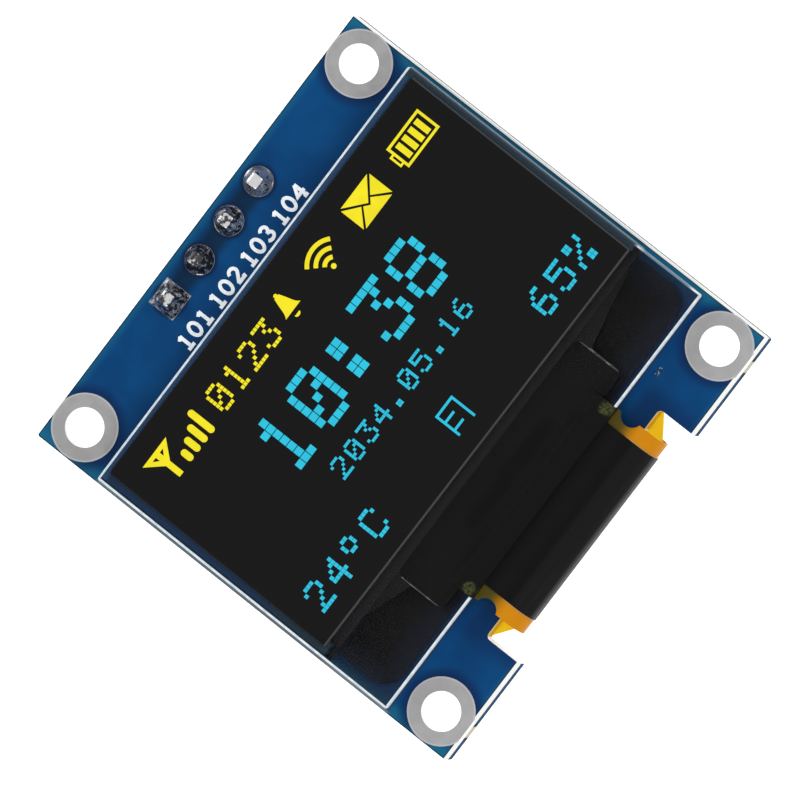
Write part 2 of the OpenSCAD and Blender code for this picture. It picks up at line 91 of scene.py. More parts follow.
BOARD_HIGH = box_of("pcb")[1]
GLASS_LOW, GLASS_HIGH = box_of("substrate_glass")
FILM_LOW, FILM_HIGH = box_of("polarizer")
LIT_LOW, LIT_HIGH = box_of("emitter_layer")
COVER_LOW, COVER_HIGH = box_of("chip_cover")
TAPE_LOW, TAPE_HIGH = box_of("flex_tape")
LEDGE_Y = box_of("cap_glass")[0][1]
HOLES = next(m for m in frame["record"]["mounts"] if m["name"] == "mounting_holes")["dims"]
HOLE_X, HOLE_Y = HOLES["spacing_x_mm"] / 2, HOLES["spacing_y_mm"] / 2
RING_R = (box_of("mount_ring_4")[1][0] - box_of("mount_ring_4")[0][0]) / 2
PIN_BOXES = [box_of(name) for name in like("header_pin", 4)]
PIN_X = [(low[0] + high[0]) / 2 for low, high in PIN_BOXES]
PIN_Y = (PIN_BOXES[0][0][1] + PIN_BOXES[0][1][1]) / 2
PIN_PITCH = PIN_X[1] - PIN_X[0]
NOTCH_Y = -11.4  # edge of the notch that the flex folds through
FLEX_HALF = 6.1  # half the flex's width at the glass
FLEX_MID = (TAPE_LOW[0] + TAPE_HIGH[0]) / 2


# ---- materials


def tint(red, green, blue):
    """A colour written as 0 to 255 in display values, as the linear value that a socket takes."""
    part = [c / 255 for c in (red, green, blue)]
    return tuple(c / 12.92 if c <= 0.04045 else ((c + 0.055) / 1.055) ** 2.4 for c in part) + (1.0,)


def grey(level):
    return tint(level, level, level)


def chosen(colour):
    """A colour property, as the linear value that a socket takes."""
    return tint(*(255 * c for c in colour))


BLACK, WHITE = grey(0), grey(255)


class Wire:
    """A value on its way through a material. Arithmetic on it adds Math nodes."""

    def __init__(self, finish, socket):
        self.finish, self.socket = finish, socket

    def of(self, output):
        """Another output of the same node."""
        return Wire(self.finish, self.socket.node.outputs[output])

    def maths(self, operation, *other):
        return self.finish.maths(operation, self, *other)

    def __rsub__(self, other):
        return self.finish.maths("SUBTRACT", other, self)

    __add__ = __radd__ = partialmethod(maths, "ADD")
    __mul__ = __rmul__ = partialmethod(maths, "MULTIPLY")
    __sub__ = partialmethod(maths, "SUBTRACT")
    __truediv__ = partialmethod(maths, "DIVIDE")
    __abs__ = partialmethod(maths, "ABSOLUTE")
    least = partialmethod(maths, "MINIMUM")
    most = partialmethod(maths, "MAXIMUM")
    root = partialmethod(maths, "SQRT")
    sine = partialmethod(maths, "SINE")

    def over(self, low, high):
        """0 below low, 1 above high, and a smooth rise between them."""
        settings = {"interpolation_type": "SMOOTHSTEP"}
        return self.finish.node("ShaderNodeMapRange", settings, {0: self, 1: low, 2: high})

    def under(self, low, high):
        """1 below low, 0 above high, and a smooth fall between them."""
        return 1 - self.over(low, high)

    def within(self, low, high, soft):
        """1 between low and high, fading out over soft at each end."""
        return self.over(low - soft, low) * self.under(high, high + soft)


class Nodes:
    """Adds nodes to a tree."""

    def __init__(self, tree):
        self.tree = tree
        tree.nodes.clear()

    def node(self, kind, settings=None, sockets=None, output=0):
        """Any node: its settings first, then the values or wires of its sockets."""
        made = self.tree.nodes.new(kind)
        for key, value in (settings or {}).items():
            setattr(made, key, value)
        for key, value in (sockets or {}).items():
            if isinstance(value, Wire):
                self.tree.links.new(value.socket, made.inputs[key])
            else:
                made.inputs[key].default_value = value
        return Wire(self, made.outputs[output])

    def maths(self, operation, *values):
        return self.node("ShaderNodeMath", {"operation": operation}, dict(enumerate(values)))

    def end(self, shader, kind="Material"):
        """Joins the last shader to the tree's output."""
        end = self.tree.nodes.new(f"ShaderNodeOutput{kind}")
        self.tree.links.new(shader.socket, end.inputs["Surface"])


class Finish(Nodes):
    """A material under way. x, y, z are the place on the object in millimetres, in the frame of the CAD."""

    def __init__(self, name):
        self.material = bpy.data.materials.new(name)
        self.material.use_nodes = True
        super().__init__(self.material.node_tree)
        self.place = self.node("ShaderNodeVectorMath", {"operation": "SCALE"},
                               {0: self.node("ShaderNodeTexCoord", output="Object"), "Scale": 1 / MM})
        self.x = self.node("ShaderNodeSeparateXYZ", sockets={0: self.place})
        self.y, self.z = self.x.of("Y"), self.x.of("Z")

    def steepness(self):
        """Upward part of the surface's normal, without its sign."""
        normal = self.node("ShaderNodeNewGeometry", output="True Normal")
        return abs(self.node("ShaderNodeSeparateXYZ", sockets={0: normal}, output="Z"))

    def noise(self, size, detail=3.0, rough=0.5, stretch=(1, 1, 1)):
        """Soft noise from 0 to 1 whose lumps are size millimetres across."""
        place = self.node("ShaderNodeVectorMath", {"operation": "MULTIPLY"}, {0: self.place, 1: stretch})
        return self.node("ShaderNodeTexNoise", {"noise_dimensions": "3D"},
                         {"Vector": place, "Scale": 1 / size, "Detail": detail, "Roughness": rough})

    def blend(self, mask, under, over):
        """Colour under where mask is 0, over where it is 1."""
        return self.node("ShaderNodeMix", {"data_type": "RGBA"}, {0: mask, 6: under, 7: over}, output=2)

    def layers(self, ground, *coats):
        """ground with each coat, a pair of mask and colour, laid over it in turn."""
        for mask, colour in coats:
            ground = self.blend(mask, ground, colour)
        return ground

    def surface(self, colour, roughness, specular=0.5, metallic=0.0, relief=None, glow=None, alpha=1.0):
        """Ends the material with one surface shader and gives it back. relief is a height from 0 to 1 and its
        depth in millimetres, glow the colour of its own light."""
        sockets = {"Base Color": colour, "Roughness": roughness, "Specular IOR Level": specular,
                   "Metallic": metallic, "Alpha": alpha}
        if glow is not None:
            sockets |= {"Emission Color": glow, "Emission Strength": 1.0}
        if relief is not None:
            height, depth = relief
            bump = {"Strength": 1.0, "Distance": depth * MM, "Height": height}
            sockets["Normal"] = self.node("ShaderNodeBump", sockets=bump)
        self.end(self.node("ShaderNodeBsdfPrincipled", sockets=sockets))
        return self.material


def distance(across, along):
    return (across * across + along * along).root()


def plain_finish(name, first, second, size, roughness, metallic=0.0, specular=0.3, depth=0.002):
    """Two close colours mixed by noise of one size, with a relief as fine."""
    make = Finish(name)
    lumps = make.noise(size)
    colour = make.blend(lumps.over(0.3, 0.7), first, second)
    return make.surface(colour, roughness + (lumps - 0.5) * 0.12, specular, metallic,
                        (make.noise(size / 3, 2), depth))


def dress(names, material):
    """Gives CAD nodes a finished material."""
    for name in names:
        slots = frame["nodes"][name].material_slots
        if not slots:
            raise RuntimeError(f"CAD node {name} has no material slot")
        for slot in slots:
            slot.material = material


# ---- surfaces


def grid_faces(rows, columns, round_rows=False, round_columns=True):
    """Squares of a grid of points, numbered row by row. A round direction joins its end to its start."""
    r = np.arange(rows if round_rows else rows - 1)[:, None]
    c = np.arange(columns if round_columns else columns - 1)[None, :]
    next_r, next_c = (r + 1) % rows, (c + 1) % columns
    corners = [r * columns + c, r * columns + next_c, next_r * columns + next_c, next_r * columns + c]
    return np.stack(corners, axis=-1).reshape(-1, 4).tolist()


def skin(grid, round_rows=False):
    """Closed tube through grid, an array of rows, columns and x, y, z. Its ends are closed flat unless its rows
    run round. Its volume is the sum of the signed pyramids on its faces, and where that is negative they turn."""
    rows, columns = grid.shape[:2]
    sides = grid_faces(rows, columns, round_rows)
    last = (rows - 1) * columns
    ends = [] if round_rows else [list(range(columns))[::-1], list(range(last, last + columns))]
    points, faces = grid.reshape(-1, 3), sides + ends
    a, b, c, d = np.moveaxis(points[np.array(sides)] - points.mean(axis=0), 1, 0)
    volume = (np.einsum("ij,ij->i", np.cross(a, b), c) + np.einsum("ij,ij->i", np.cross(a, c), d)).sum()
    return points, faces if volume > 0 else [face[::-1] for face in faces]


def together(solids):
    """Several closed surfaces as one."""
    points, faces, start = [], [], 0
    for some, corners in solids:
        points.append(some)
        faces += [[start + i for i in face] for face in corners]
        start += len(some)
    return np.concatenate(points), faces


def add_piece(name, solid, material, stands_for=(), smooth=False):
    points, faces = solid
    mesh = bpy.data.meshes.new(name)
    mesh.from_pydata((points * MM).tolist(), [], faces)
    mesh.materials.append(material)
    mesh.polygons.foreach_set("use_smooth", np.full(len(mesh.polygons), smooth))
    mesh.update()
    piece = bpy.data.objects.new(name, mesh)
    bpy.context.scene.collection.objects.link(piece)
    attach(piece, "root")
    if stands_for:
        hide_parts(*stands_for)


def rounded(low, high, radius, inset=0.0, steps=6):
    """Outline of a rectangle with round corners, inset inwards: each corner's centre plus a quarter circle."""
    radius = max(radius - inset, 1e-4)
    turn = np.linspace(0, math.pi / 2, steps)
    corners = []
    for i, (sx, sy) in enumerate(((1, 1), (-1, 1), (-1, -1), (1, -1))):
        centre_x = (high[0] - inset - radius) if sx > 0 else (low[0] + inset + radius)
        centre_y = (high[1] - inset - radius) if sy > 0 else (low[1] + inset + radius)
        angle = turn + i * math.pi / 2
        corners.append(np.column_stack([centre_x + radius * np.cos(angle), centre_y + radius * np.sin(angle)]))
    return np.concatenate(corners)


def raised(outlines, heights):
    """Stacks flat outlines of equal length at the given heights into one grid."""
    return np.stack([np.column_stack([line, np.full(len(line), z)]) for line, z in zip(outlines, heights)])


def ribbon(path, width, bottom, top, loop=False):
    """A flat strip: a rectangle carried along path. Each point moves half the width along the path's normal, and
    at a corner by 1 / cos of half the turn. Two neighbouring points must not coincide."""
    path = np.asarray(path, float)
    ahead = (np.roll(path, -1, axis=0) - path) if loop else np.diff(path, axis=0)
    ahead = ahead / np.linalg.norm(ahead, axis=1, keepdims=True)
    if loop:
        before, after = np.roll(ahead, 1, axis=0), ahead
    else:
        before, after = np.vstack([ahead[:1], ahead]), np.vstack([ahead, ahead[-1:]])
    along = before + after
    along = along / np.linalg.norm(along, axis=1, keepdims=True)
    normal = np.column_stack([-along[:, 1], along[:, 0]])
    stretch = 1 / np.clip((along * after).sum(axis=1, keepdims=True), 0.5, 1)
    left, right = path + normal * stretch * width / 2, path - normal * stretch * width / 2
    corners = raised([left, left, right, right], [bottom, top, top, bottom])
    return skin(corners.swapaxes(0, 1), round_rows=loop)


def arc(centre, radii, start, end, steps=14):
    """Points of an ellipse from one angle in degrees to another."""
    angle = np.radians(np.linspace(start, end, steps))
    return np.column_stack([centre[0] + radii[0] * np.cos(angle), centre[1] + radii[1] * np.sin(angle)])


def blocks(low, high, bottom, top):
    """Many separate flat blocks: corner k of block i is low or high of that block on each axis."""
    pick = np.array([[0, 0], [1, 0], [1, 1], [0, 1]])
    flat = low[:, None, :] + (high - low)[:, None, :] * pick[None]
    levels = [np.concatenate([flat, np.full(flat.shape[:2] + (1,), z)], axis=2) for z in (bottom, top)]
    base = np.array([[3, 2, 1, 0], [4, 5, 6, 7], [0, 1, 5, 4], [1, 2, 6, 5], [2, 3, 7, 6], [3, 0, 4, 7]])
    faces = (base[None] + 8 * np.arange(len(low))[:, None, None]).reshape(-1, 4)
    return np.concatenate(levels, axis=1).reshape(-1, 3), faces.tolist()


# ---- properties


def paint(name, text, red, green, blue):
    """A colour that a user would change, from display values 0 to 255."""
    return bpy.props.FloatVectorProperty(name=name, description=text, subtype="COLOR_GAMMA", size=3, min=0,
                                         max=1, default=(red / 255, green / 255, blue / 255))


def length(name, text, millimetres):
    """A length that a user would change."""
    return bpy.props.FloatProperty(name=name, description=text, subtype="DISTANCE", unit="LENGTH",
                                   precision=5, min=0, default=millimetres * MM)


def angle(name, text, degrees):
    """An angle that a user would change."""
    return bpy.props.FloatProperty(name=name, description=text, subtype="ANGLE", default=math.radians(degrees))


class OLED_PG_colours(bpy.types.PropertyGroup):
    """Colours of the module's surfaces."""

    mask: paint("Solder mask", "Blue lacquer over the copper of the board", 6, 72, 126)
    # Also the colour of the painted shadow beside the flex.
    bare_and_shadow: paint("Mask without copper", "The same lacquer where no copper lies under it", 8, 34, 78)
    edge: paint("Mask at the edges", "Thin lacquer along the board's left and right edges", 24, 102, 134)
    core: paint("Board core", "Glass cloth laminate seen on the board's cut edges", 252, 253, 250)
    tin: paint("Tinned copper", "Rings around the mounting holes", 160, 159, 160)
    solder: paint("Solder", "Joints of the header pins", 205, 205, 207)
    amber: paint("Flex film", "Polyimide film with copper under it", 214, 138, 8)
    yellow_film: paint("Bare flex film", "Polyimide film without copper", 226, 190, 30)
    dark: paint("Screen", "Polarizer over the unlit screen", 19, 19, 20)
    lit_yellow: paint("Upper lit row", "Light of the screen's upper strip", 251, 235, 46)
    lit_cyan: paint("Lower lit rows", "Light of the rest of the screen", 53, 200, 230)


class OLED_PG_sizes(bpy.types.PropertyGroup):
    """Sizes of the pieces that this file adds to the CAD frame."""

    joint_rough: length("Joint roughness", "How far a joint's surface wanders from a smooth fillet", 0.045)
    print_height: length("Print height", "Height of the numbers printed beside the header", 0.96)
    print_width: length("Print stroke", "Width of a printed line", 0.19)
    track_width: length("Track width", "Width of a copper track under the mask", 0.28)
    dot_gap: length("Dot gap", "Dark gap between two large lit dots", 0.045)
    film_bevel: length("Film bevel", "Bevel along the edge of the polarizer", 0.03)


class OLED_PG_stage(bpy.types.PropertyGroup):
    """Where the camera stands and how strong the light is."""

    tilt: angle("Tilt", "Angle of the view from straight above", 12)
    side: angle("Side", "Direction of the camera, from the board's right edge", -57)
    roll: angle("Roll", "Direction on the board that points up in the picture", 37.84)
    distance: length("Distance", "From the camera to the board", 500)
    width: length("Width", "Width of the picture at the board", 41.024)
    lamp: bpy.props.FloatProperty(name="Lamp brightness", description="Brightness of each soft lamp's face",
                                  min=0, default=4.0)
    sky: bpy.props.FloatProperty(name="Surrounding light", description="Plain light from all sides",
                                 min=0, default=0.55)


# ---- board

SCORED_SIDE, SCORED_FOOT = 0.08, 0.17  # width of the pale scored margin on the right and at the foot


def ring_distance(make):
    """Distance from the nearest mounting hole's centre."""
    return distance(abs(make.x) - HOLE_X, abs(make.y) - HOLE_Y)


def board_finish(colours):
    """Lacquer on both faces: lighter over copper, darker round rings and joints. The cut edges have a pale core,
    and so has the margin where the board was scored. Painted shade darkens the lacquer under the glass, beside
    the flex and in a band along the row of joints. Painted light brightens the upper part of the cut walls and
    the walls of the notch."""
    make = Finish("board_lacquer")
    from_side, from_end = BOARD_HIGH[0] - abs(make.x), BOARD_HIGH[1] - abs(make.y)
    inward = (abs(make.x) + abs(make.y)).under(HOLE_X + HOLE_Y + 0.4, HOLE_X + HOLE_Y + 2.0)
    joint_x = abs(abs(abs(make.x) - PIN_PITCH) - PIN_PITCH / 2)
    joint_y = make.y - PIN_Y
    pour = make.blend(make.noise(3.2).over(0.35, 0.68), chosen(colours.mask), tint(4, 62, 114))
    front = make.z.over(BOARD_HIGH[2] - 0.2, BOARD_HIGH[2] - 0.1)
    # painted shade: behind marks the lacquer under the glass, which is painted darker and greyer
    behind_right = make.x.under(GLASS_HIGH[0] - 0.2, GLASS_HIGH[0] - 0.05)
    behind = behind_right * make.y.within(GLASS_LOW[1] + 0.2, 0, 0.25)
    scored = (BOARD_HIGH[0] - SCORED_SIDE - make.x).least(make.y + BOARD_HIGH[1] - SCORED_FOOT)
    # painted shadow: beside_flex marks the lacquer round the flex's shoulders, painted in the colour of bare
    # lacquer
    beside_flex = abs(make.x - FLEX_MID).under(FLEX_HALF + 1.3, FLEX_HALF + 2.6) * make.y.under(-10.6, -9.9)
    rim = from_side.least(from_end).under(0.03, 0.08).most(front * scored.under(0.05, 0.09))
    face = make.layers(
        pour,
        (from_side.under(0.2, 1.0) * 0.85, chosen(colours.edge)),
        (from_end.under(0.1, 0.5) * 0.45, chosen(colours.edge)),
        (ring_distance(make).under(RING_R + 0.05, RING_R + 0.7) * inward * 0.75, chosen(colours.bare_and_shadow)),
        # painted shade: a dark band along the row of joints
        (abs(joint_y).under(0.3, 0.95) * abs(make.x).under(3.6, 4.4) * front * 0.75, tint(9, 28, 40)),
        (distance(joint_x, joint_y).under(0.84, 1.1) * 0.85, tint(10, 34, 68)),
        (front * beside_flex * 0.55, chosen(colours.bare_and_shadow)),
        (front * behind * 0.6, tint(44, 50, 64)),
        (rim, tint(5, 30, 50)),
        (front * scored.under(0, 0.03), chosen(colours.core)),
        ((make.x + BOARD_HIGH[0]).under(0.13, 0.16) * abs(make.y).under(9.5, 9.9) * 0.6, tint(150, 162, 166)),
    )
    weave = make.noise(0.3, 2, 0.5, (0.35, 0.35, 3))
    film_side = abs(make.x - FLEX_MID).within(FLEX_HALF, FLEX_HALF + 1.25, 0.1)
    low = make.z.under(0.95, 0.99) * from_end.under(0.02, 0.05)
    from_ring = abs(abs(make.x) - HOLE_X)
    chord = math.sqrt(max(RING_R ** 2 - (BOARD_HIGH[1] - HOLE_Y) ** 2, 0.01))
    cut = make.layers(
        make.blend(weave.over(0.4, 0.7), chosen(colours.core), tint(238, 240, 234)),
        (low, tint(10, 60, 98)),
        (low * from_ring.under(chord + 0.1, chord + 0.16), tint(22, 28, 34)),
        (low * from_ring.under(chord - 0.1, chord - 0.04), tint(206, 200, 176)),
        (make.z.under(0.5, 0.56) * from_side.under(0.02, 0.05), tint(92, 102, 100)),
        (film_side * abs(make.y - NOTCH_Y).under(0.05, 0.1), tint(222, 182, 40)),
    )
    wall = make.steepness().under(0.3, 0.6)
    notch = from_side.over(0.5, 1.0) * from_end.over(0.02, 0.05) * make.y.under(NOTCH_Y - 0.1, NOTCH_Y - 0.03)
    # painted light: the upper part of the cut walls and the notch's walls glow, to brighten them where they lie
    # in shade
    glow = make.layers(BLACK, (wall * make.z.over(0.75, 0.8) * (1 - low), tint(78, 82, 92)),
                       (wall * notch, tint(138, 142, 156)))
    return make.surface(make.blend(wall, face, cut), 0.34 + wall * 0.4, 0.08,
                        relief=(make.noise(0.5, 2), 0.003), glow=glow)


def tin_finish(colours):
    """Dull tinned copper: mottled grey, a painted highlight on the rim, the rings at the foot painted a little
    lighter as painted light, and a bright plated bore.
    """
    make = Finish("tinned_copper_dull")
    mottled = make.noise(0.9)
    colour = make.layers(
        make.blend(mottled.over(0.3, 0.7), chosen(colours.tin), tint(152, 151, 151)),
        # painted light: the rings at the foot are a little lighter; next, a painted highlight along the rim
        (make.y.under(-6, 6) * 0.3, tint(182, 180, 183)),
        (ring_distance(make).within(RING_R - 0.07, RING_R - 0.03, 0.03) * 0.45, tint(196, 197, 200)),
        ((make.y + BOARD_HIGH[1]).under(0.09, 0.11), tint(250, 250, 248)),
        (make.steepness().under(0.3, 0.6), tint(248, 248, 247)),
    )
    return make.surface(colour, 0.56 + mottled * 0.16, metallic=0.7, relief=(make.noise(0.12), 0.002))


class OLED_OT_board(bpy.types.Operator):
    """Finish the circuit board, the rings round its mounting holes and the lands of the header"""

    bl_idname = "oled.board"
    bl_label = "Board"

    def execute(self, context):
        colours = context.scene.oled_colours
        dress(["pcb"], board_finish(colours))
        dress(like("mount_ring", 4) + like("header_pad", 4), tin_finish(colours))
        return {"FINISHED"}


# ---- tracks

TRACK_DEPTH = 0.018
SPECKS = [(8.7, -10.2), (8.97, -10.2)]
VIAS = [(-7.5, 5.6), (-2.0, 5.9), (2.9, 5.4), (6.1, 5.9), (10.4, 3.4), (-11.2, -1.3), (11.2, -1.9)]


def track_finish(colours):
    """Copper seen through the mask: the mask's colour, a little lighter."""
    make = Finish("track_under_mask")
    return make.surface(make.blend(make.noise(1.5), tint(22, 92, 148), chosen(colours.mask)), 0.36, 0.25)


def hole_finish():
    """Dark lacquer sunk into a small hole, with glints on its rim."""
    make = Finish("hole_under_mask")
    glint = make.noise(0.12, 2).over(0.55, 0.62)
    return make.surface(make.blend(glint, tint(6, 36, 66), tint(110, 160, 180)), 0.36, 0.25)


def via(centre, face, rise):
    """A small covered hole: a ring of lacquer standing rise above a face. Round the centre the height is a sine
    of the way out from the middle."""
    turn = np.linspace(0, 2 * math.pi, 20, endpoint=False)[None, :]
    out = np.linspace(0, 1, 6)[:, None]
    radius = 0.02 + 0.12 * out
    height = face + rise * np.sin(math.pi * out) + 0 * turn
    grid = np.stack([centre[0] + radius * np.cos(turn), centre[1] + radius * np.sin(turn), height], axis=2)
    sunk = grid[-1:].copy()
    sunk[..., 2] = face - rise / 2
    return skin(np.concatenate([grid, sunk]))


class OLED_OT_tracks(bpy.types.Operator):
    """Lay the copper tracks on the rear face, and the small covered holes"""

    bl_idname = "oled.tracks"
    bl_label = "Tracks"

    def execute(self, context):
        colours, sizes = context.scene.oled_colours, context.scene.oled_sizes
        foot_parts = [box_of(name) for name in like("capacitor", 5) + like("resistor", 3)]
        lower, upper = foot_parts[0][0][1], foot_parts[0][1][1]
        contact_y = box_of("flex_solder")[1][1] + 0.1
        to_contacts, to_header, to_pins = [], [], []
        for (low, high), rise in zip(foot_parts, np.linspace(0.7, 2.9, len(foot_parts))):
            x = (low[0] + high[0]) / 2
            bend = lower - 0.5  # at x = 0 the bend has no length, so that strip is broken there
            to_contacts.append([(x, lower), (x, bend), (0.93 * x, bend - 0.07 * abs(x)), (0.93 * x, contact_y)])
            aside = x + (0.6 if x > 0 else -0.6)
            to_header.append([(x, upper), (x, upper + rise), (aside, upper + rise + 0.6), (aside, 3.9)])
        for x in PIN_X:
            aside = 0.9 if x > 0 else -0.9
            to_pins.append([(x, PIN_Y - 1.1), (x, 9.9), (x + aside, 9.0), (x + aside, 5.2), (x - aside, 3.4)])
        width = sizes.track_width / MM
        rear = [ribbon(path, width, -TRACK_DEPTH, 0.0) for path in to_contacts + to_header + to_pins]
        add_piece("rear_tracks", together(rear), track_finish(colours))
        holes = [via(spot, BOARD_HIGH[2], 0.03) for spot in SPECKS] + [via(spot, 0.0, -0.012) for spot in VIAS]
        add_piece("covered_holes", together(holes), hole_finish())
        return {"FINISHED"}


# ---- print

DIGITS = {
    "0": [(arc((0.32, 0.5), (0.24, 0.41), 0, 342, 20), True)],
    "1": [([(0.32, 0.07), (0.32, 0.93)], False), ([(0.33, 0.9), (0.13, 0.76)], False),
          ([(0.1, 0.07), (0.54, 0.07)], False)],
    "2": [(np.vstack([arc((0.31, 0.68), (0.22, 0.24), 170, -38), [(0.11, 0.09)]]), False),
          ([(0.08, 0.08), (0.56, 0.08), (0.58, 0.22)], False)],
    "3": [(arc((0.29, 0.71), (0.2, 0.21), 155, -90), False),
          (arc((0.29, 0.29), (0.24, 0.21), 90, -155), False)],
    "4": [([(0.43, 0.07), (0.43, 0.93)], False), ([(0.42, 0.92), (0.08, 0.36), (0.6, 0.36)], False),
          ([(0.3, 0.07), (0.56, 0.07)], False)],
}
DIGIT_W = 0.64
PRINT_T, REAR_PRINT_T = 0.01, 0.014


def printed(text, middle, foot, height, stroke, bottom, top, sign=1):
    """A printed number centred on middle. Each stroke of a digit, drawn in a box one high, becomes a ribbon."""
    step = 0.84 * height
    start = middle - sign * (len(text) - 1) * step / 2
    strokes = []
    for place, digit in enumerate(text):
        for path, loop in DIGITS[digit]:
            path = (np.asarray(path) - (DIGIT_W / 2, 0)) * (sign * 1.12 * height, height)
            path = path + (start + sign * place * step, foot)
            strokes.append(ribbon(path, stroke, bottom, top + 0.0008 * len(strokes), loop))
    return strokes


def print_finish():
    """White printing ink, slightly uneven, with a painted glow that lightens it."""
    make = Finish("printing_ink")
    colour = make.blend(make.noise(0.25).over(0.35, 0.75), tint(250, 251, 252), tint(214, 224, 230))
    # painted light: the ink glows a little
    return make.surface(colour, 0.6, 0.2, relief=(make.noise(0.1), 0.003), glow=tint(120, 124, 128))


class OLED_OT_print(bpy.types.Operator):
    """Print a plain number beside each pin, and an outline round each part on the rear"""

    bl_idname = "oled.print"
    bl_label = "Printing"

    def execute(self, context):
        sizes = context.scene.oled_sizes
        height, stroke = sizes.print_height / MM, sizes.print_width / MM
        ink = print_finish()
        face, foot = BOARD_HIGH[2], GLASS_HIGH[1] + 0.43
        front, rear = [], []
        for name in like("capacitor", 7) + like("resistor", 8) + ["diode_body", "regulator_body"]:
            low, high = box_of(name)
            upright = high[1] - low[1] > high[0] - low[0]
            aside = {"diode_body": (0.85, 0.25), "regulator_body": (0.3, 0.8)}.get(
                name, (0.3, 0.62) if upright else (0.62, 0.3))
            outline = rounded(low[:2] - aside, high[:2] + aside, 0.12, steps=3)
            rear.append(ribbon(outline, 0.11, -REAR_PRINT_T, 0.0, True))
        for place, x in enumerate(PIN_X):
            middle = 1.065 * x - 0.17
            front += printed(f"10{place + 1}", middle, foot, height, stroke, face, face + PRINT_T)
            rear += printed(f"{place + 1}", x, PIN_Y - 2.45, 0.8, 0.14, -REAR_PRINT_T, 0.0, -1)
        add_piece("pin_numbers", together(front), ink)
        add_piece("rear_print", together(rear), ink)
        return {"FINISHED"}


# ---- header


def solder_finish(colours, name="header_solder", uneven=0):
    """Bright solder with dull grey patches, partly flux and partly painted shade that stands for dark
    reflections, so its highlights break up. Where uneven is 1, the second joint is painted a little darker and
    the fourth lighter, as painted shade and painted light."""
    make = Finish(name)
    patches = make.noise(0.3, 3, 0.55)
    # painted shade and light: the second joint a little darker, the fourth lighter
    flux_and_shade = patches + (make.x.within(-2.2, -0.4, 0.1) * 0.05 - make.x.over(2.4, 2.7) * 0.1) * uneven
    return make.surface(make.blend(flux_and_shade.over(0.43, 0.55), chosen(colours.solder), tint(66, 64, 66)),
                        0.12 + patches * 0.2, metallic=0.9, relief=(make.noise(0.16, 3, 0.55), 0.03))


def pin_finish():
    """Tinned wire with faint marks along it from drawing."""
    make = Finish("tinned_pin")
    drawn = make.noise(0.12, 2, 0.5, (1, 1, 0.08))
    return make.surface(make.blend(drawn, tint(196, 190, 176), tint(166, 160, 148)), 0.24 + drawn * 0.14,
                        metallic=1.0, relief=(drawn, 0.002))


def header_body_finish():
    """Black moulded plastic with a fine grain."""
    make = Finish("header_plastic_black")
    grain = make.noise(0.1, 2)
    colour = make.blend(make.noise(1.2), tint(20, 20, 21), tint(31, 31, 32))
    return make.surface(colour, 0.48 + grain * 0.14, 0.35, relief=(grain, 0.006))


def superellipse(turn, power):
    """Radius of a superellipse of half width 1 in a direction: a circle at power 2, nearly a square at 9."""
    return (np.abs(np.cos(turn)) ** power + np.abs(np.sin(turn)) ** power) ** (-1 / power)


def joint_surface(centre, land, square, rough, phase):
    """Solder between a land and its pin. s runs from 0 at the rim to 1 at the pin: the radius falls evenly and
    the height rises as s to the power 1.25. Sine waves round the pin push it in and out, most at half way. The
    outline is a superellipse that passes from the land's, of power 2 or 9, to the pin's, of power 6. A thin coat
    of the pin's outline covers its end."""
    turn = np.linspace(0, 2 * math.pi, 72, endpoint=False)[None, :]
    s = np.linspace(0, 1, 20)[:, None]
    rim, pin = superellipse(turn, 9 if square else 2), superellipse(turn, 6)
    outline = rim + (pin - rim) * s
    waves = rough * sum(size * np.sin(count * turn + shift * phase)
                        for size, count, shift in ((0.5, 2, 1), (0.35, 3, 1.7), (0.25, 5, 3)))
    swell = np.sin(math.pi * s)
    low, high = land
    reach, pin_r, top = (high[0] - low[0]) / 2 - 0.01, 0.37, high[2]
    foot = BOARD_HIGH[2] + 0.05
    radius = (reach + (pin_r - reach) * s) * outline * (1 + 0.8 * waves * swell)
    height = foot + 0.02 + (top - foot - 0.02) * s ** 1.25 + waves * swell
    under = [(0.49, low[2]), (0.49, foot), (reach, foot)]
    coat = [(0.36, 0.06), (0.34, 0.16), (0.3, 0.2), (0.18, 0.21), (0.06, 0.195)]
    rows = [(r * (rim[0] if r == reach else 1), z + 0 * turn[0]) for r, z in under]
    rows += [(radius[i], height[i]) for i in range(len(s))]
    rows += [(r * pin[0] * (1 + 0.5 * waves[0]), top + z + 0.3 * waves[0]) for r, z in coat]
    r, z = (np.stack([row[i] + 0 * turn[0] for row in rows]) for i in range(2))
    return skin(np.stack([centre[0] + r * np.cos(turn), centre[1] + r * np.sin(turn), z], axis=2))


class OLED_OT_header(bpy.types.Operator):
    """Make the soldered joints, and finish the pins and their plastic body"""

    bl_idname = "oled.header"
    bl_label = "Pin header"

    def execute(self, context):
        colours, sizes = context.scene.oled_colours, context.scene.oled_sizes
        solder = solder_finish(colours, uneven=1)
        rough = sizes.joint_rough / MM
        for place, (x, node) in enumerate(zip(PIN_X, like("solder_joint", 4))):
            shape = joint_surface((x, PIN_Y), box_of(node), place == 0, rough, 1.3 + 2.1 * place)
            add_piece(f"joint_{place + 1}", shape, solder, [node], smooth=True)
        dress(like("header_pin", 4), pin_finish())
        dress(["header_body"], header_body_finish())
        return {"FINISHED"}


# ---- panel

FILM_SOUTH_WEST, FILM_NORTH_EAST = FILM_LOW[:2] - (0, 0.06), FILM_HIGH[:2] - (0.16, 0.1)
FILM_SKEW = 0.006  # the film lies slightly askew
GROUND = 0.1  # bevel of the front glass
LIT_RISE = 0.008
LIT_Z = (FILM_HIGH[2] - LIT_RISE, FILM_HIGH[2])


